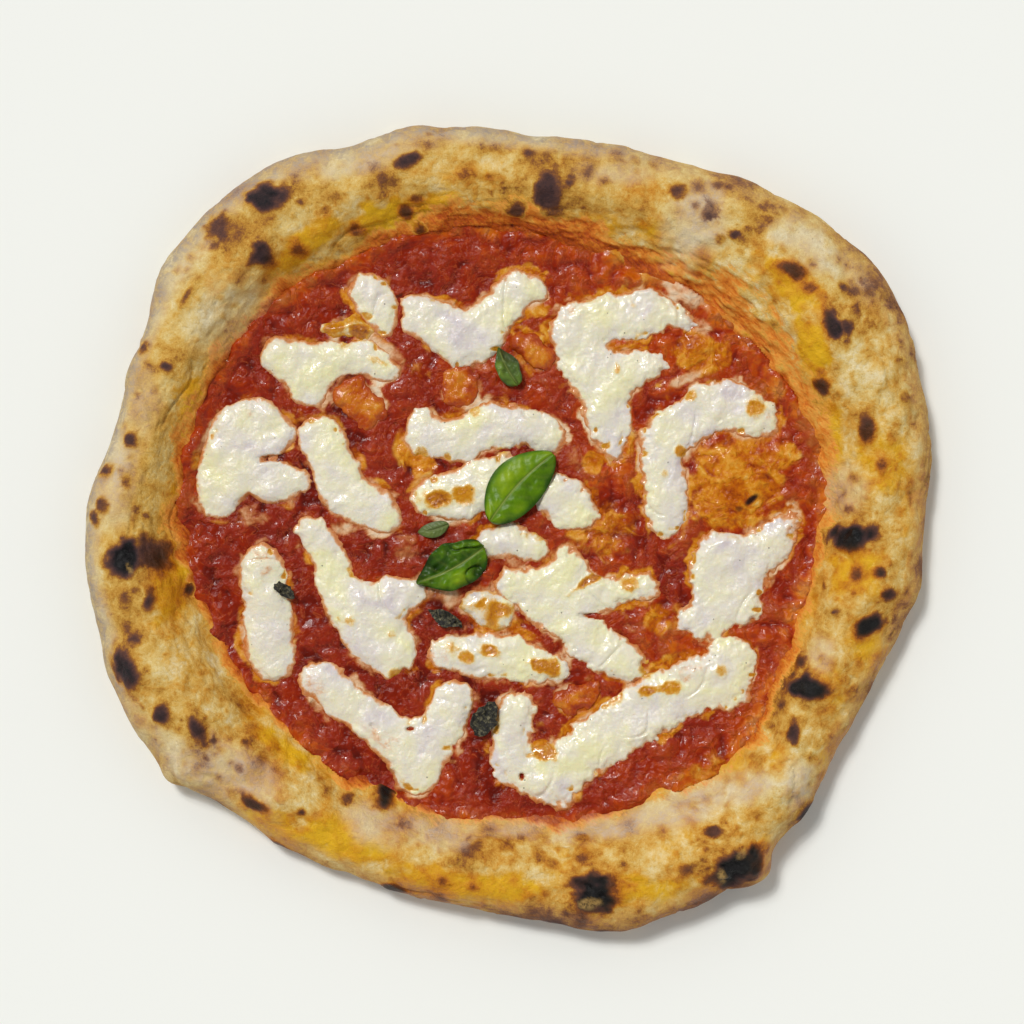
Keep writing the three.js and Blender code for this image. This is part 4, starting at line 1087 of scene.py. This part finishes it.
class PIZZA_OT_basil(bpy.types.Operator):
    """Model the basil leaves, fresh and burnt"""

    bl_idname = "pizza.basil"
    bl_label = "Basil"

    def execute(self, context):
        fresh, burnt = basil_material(), burnt_leaf_material()
        for node, leaf in LEAVES.items():
            self.leaf(node, *leaf, fresh)
        for node in BURNT_LEAVES:
            piece = copy_of(node, node + "_crisp")
            modified(piece, "SUBSURF", levels=2)
            points = read_points(piece.data)
            points += 0.9 * np.column_stack([rough(points, 2.4, 96 + k, 2) for k in range(3)])
            write_points(piece.data, points)
            dressed(piece, [node], burnt)
        return {"FINISHED"}

    def leaf(self, node, x, y, length, width, heading, pucker, material):
        """One leaf: a grid drawn along its midrib, with its veins, quilting and curl."""
        piece, points = sheet_over(node + "_fresh", (0, -1), (1, 1), 1 / 48)
        along, across = points[:, 0].copy(), points[:, 1].copy()
        crushed = smooth(pucker, 0.4, 0.8)
        half = width / 2 * np.sin(math.pi * (0.015 + 0.97 * along ** (0.92 - 0.24 * crushed))) ** (
            0.62 + 0.25 * crushed * smooth(along, 0.3, 0.8))
        half = half * (1 + 0.3 * crushed * hills(points * [6, 2.5, 0], 1.3, 94))
        bow = 0.05 * length * np.sin(math.pi * along)
        local = np.stack([(along - 0.5) * length, across * half + bow, 0 * along], axis=1)
        vein_places = along - 0.16 * np.abs(across) ** 1.3
        nearest = np.min([np.abs(vein_places - k) for k in VEINS], axis=0)
        fade = smooth(np.abs(across), 1, 0.6)
        laterals = bell(nearest * length, 0, 0.5) * fade
        midrib = bell(across * half, 0, 0.42) * smooth(along, 1, 0.85)
        quilt = smooth(nearest * length, 0, 2.2) * fade * smooth(np.abs(across), 0, 0.3)
        crumple = pucker * rough(local, 7, 95, 3) * smooth(np.abs(across), 0, 0.4)
        crumple = crumple - 0.45 * crushed * creases(local, 7, 97, 0.16)
        rise = -0.3 * midrib - 0.05 * laterals + (0.2 + 0.3 * pucker - 0.2 * crushed) * quilt
        rise = rise + (2.1 + 0.9 * crushed) * crumple
        curl = 1.9 * across ** 2 * (width / 20) + 1.0 * (2 * along - 1) ** 4
        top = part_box(node)[1].z / MM - 0.3
        angle = math.radians(heading)
        points[:, 0] = x + local[:, 0] * math.cos(angle) - local[:, 1] * math.sin(angle)
        points[:, 1] = y + local[:, 0] * math.sin(angle) + local[:, 1] * math.cos(angle)
        points[:, 2] = top + rise - curl - 0.9 * pucker
        write_points(piece.data, points)
        # Painted light and shade in the green: one half of the leaf lighter, raised crumples and the bulges
        # between the veins lighter, the midrib's groove and the rim darker; a puckered leaf is darker all
        # over
        side = 0.5 + 0.5 * smooth(across, -0.15, 0.15)
        light = 0.38 + 0.28 * side + 0.06 * quilt - 0.3 * pucker + 0.3 * crumple
        light = light - 0.15 * smooth(midrib, 0.1, 0.5) - 0.22 * smooth(np.abs(across), 0.72, 1)
        wilt = np.full(len(points), WILT.get(node, 0.0))
        write_values(piece.data, light=light, vein=np.maximum(0.9 * midrib, 0.2 * laterals), wilt=wilt)
        weld(piece, 0.02)
        modified(piece, "SOLIDIFY", thickness=0.0005, offset=-1)
        dressed(piece, [node], material)


class PIZZA_OT_stage(bpy.types.Operator):
    """Set the pale floor, the soft light and the camera that looks straight down"""

    bl_idname = "pizza.stage"
    bl_label = "Stage"

    def execute(self, context):
        settings = context.scene.pizza
        bpy.ops.object.select_all(action="DESELECT")
        bpy.ops.mesh.primitive_plane_add(size=FLOOR_SIZE, location=(0, 0, -FLOOR_GAP))
        floor = context.object
        floor.name = "backdrop"
        floor.data.materials.append(floor_material())
        lights = (("key_light", settings.key_light, 15), ("glint_light", settings.glint_light, 2))
        for name, strength, width in lights:
            bpy.ops.object.light_add(
                type="SUN", rotation=(math.radians(SUN_TILT), 0, math.radians(SUN_BEARING)))
            context.object.name = name
            context.object.data.energy = strength
            context.object.data.angle = math.radians(width)
        self.sky(context, settings.sky_light)
        bpy.ops.object.camera_add(location=CAMERA_PLACE)
        camera = context.object
        camera.data.sensor_width = SENSOR_WIDTH
        camera.data.lens = SENSOR_WIDTH * VIEW_DISTANCE / VIEW_WIDTH
        context.scene.camera = camera
        context.scene.view_settings.view_transform = "Standard"
        return {"FINISHED"}

    def sky(self, context, strength):
        """A studio that is bright at its walls and dim at its ceiling, so wet tops keep their colour."""
        world = bpy.data.worlds.new("studio")
        context.scene.world = world
        world.use_nodes = True
        tree = world.node_tree
        background = tree.nodes["Background"]
        background.inputs["Color"].default_value = (1, 1, 1, 1)
        direction = add(tree, "TexCoord").outputs["Generated"]
        up = add(tree, "SeparateXYZ", {0: direction}).outputs["Z"]
        walls = spread(tree, up, -0.1, 0.45, 0.4 * strength, strength)
        ceiling = spread(tree, up, 0.55, 0.97, 1.0, 0.14)
        tree.links.new(times(tree, walls, ceiling), background.inputs["Strength"])


class PIZZA_PT_panel(bpy.types.Panel):
    """Buttons for each part of the pizza"""

    bl_label = "Margherita Pizza"
    bl_idname = "PIZZA_PT_panel"
    bl_space_type = "VIEW_3D"
    bl_region_type = "UI"
    bl_category = "Pizza"

    def draw(self, context):
        for name in PizzaSettings.__annotations__:
            self.layout.prop(context.scene.pizza, name)
        for operator in OPERATORS:
            self.layout.operator(operator.bl_idname)


OPERATORS = (
    PIZZA_OT_crust, PIZZA_OT_sauce, PIZZA_OT_tomato, PIZZA_OT_mozzarella, PIZZA_OT_basil, PIZZA_OT_stage)
CLASSES = (PizzaSettings, *OPERATORS, PIZZA_PT_panel)


def register():
    for made in CLASSES:
        bpy.utils.register_class(made)
    bpy.types.Scene.pizza = PointerProperty(type=PizzaSettings)


def unregister():
    del bpy.types.Scene.pizza
    for made in reversed(CLASSES):
        bpy.utils.unregister_class(made)


def main():
    register()
    bpy.ops.pizza.crust()
    bpy.ops.pizza.sauce()
    bpy.ops.pizza.tomato()
    bpy.ops.pizza.mozzarella()
    bpy.ops.pizza.basil()
    bpy.ops.pizza.stage()


if __name__ == "__main__":
    main()
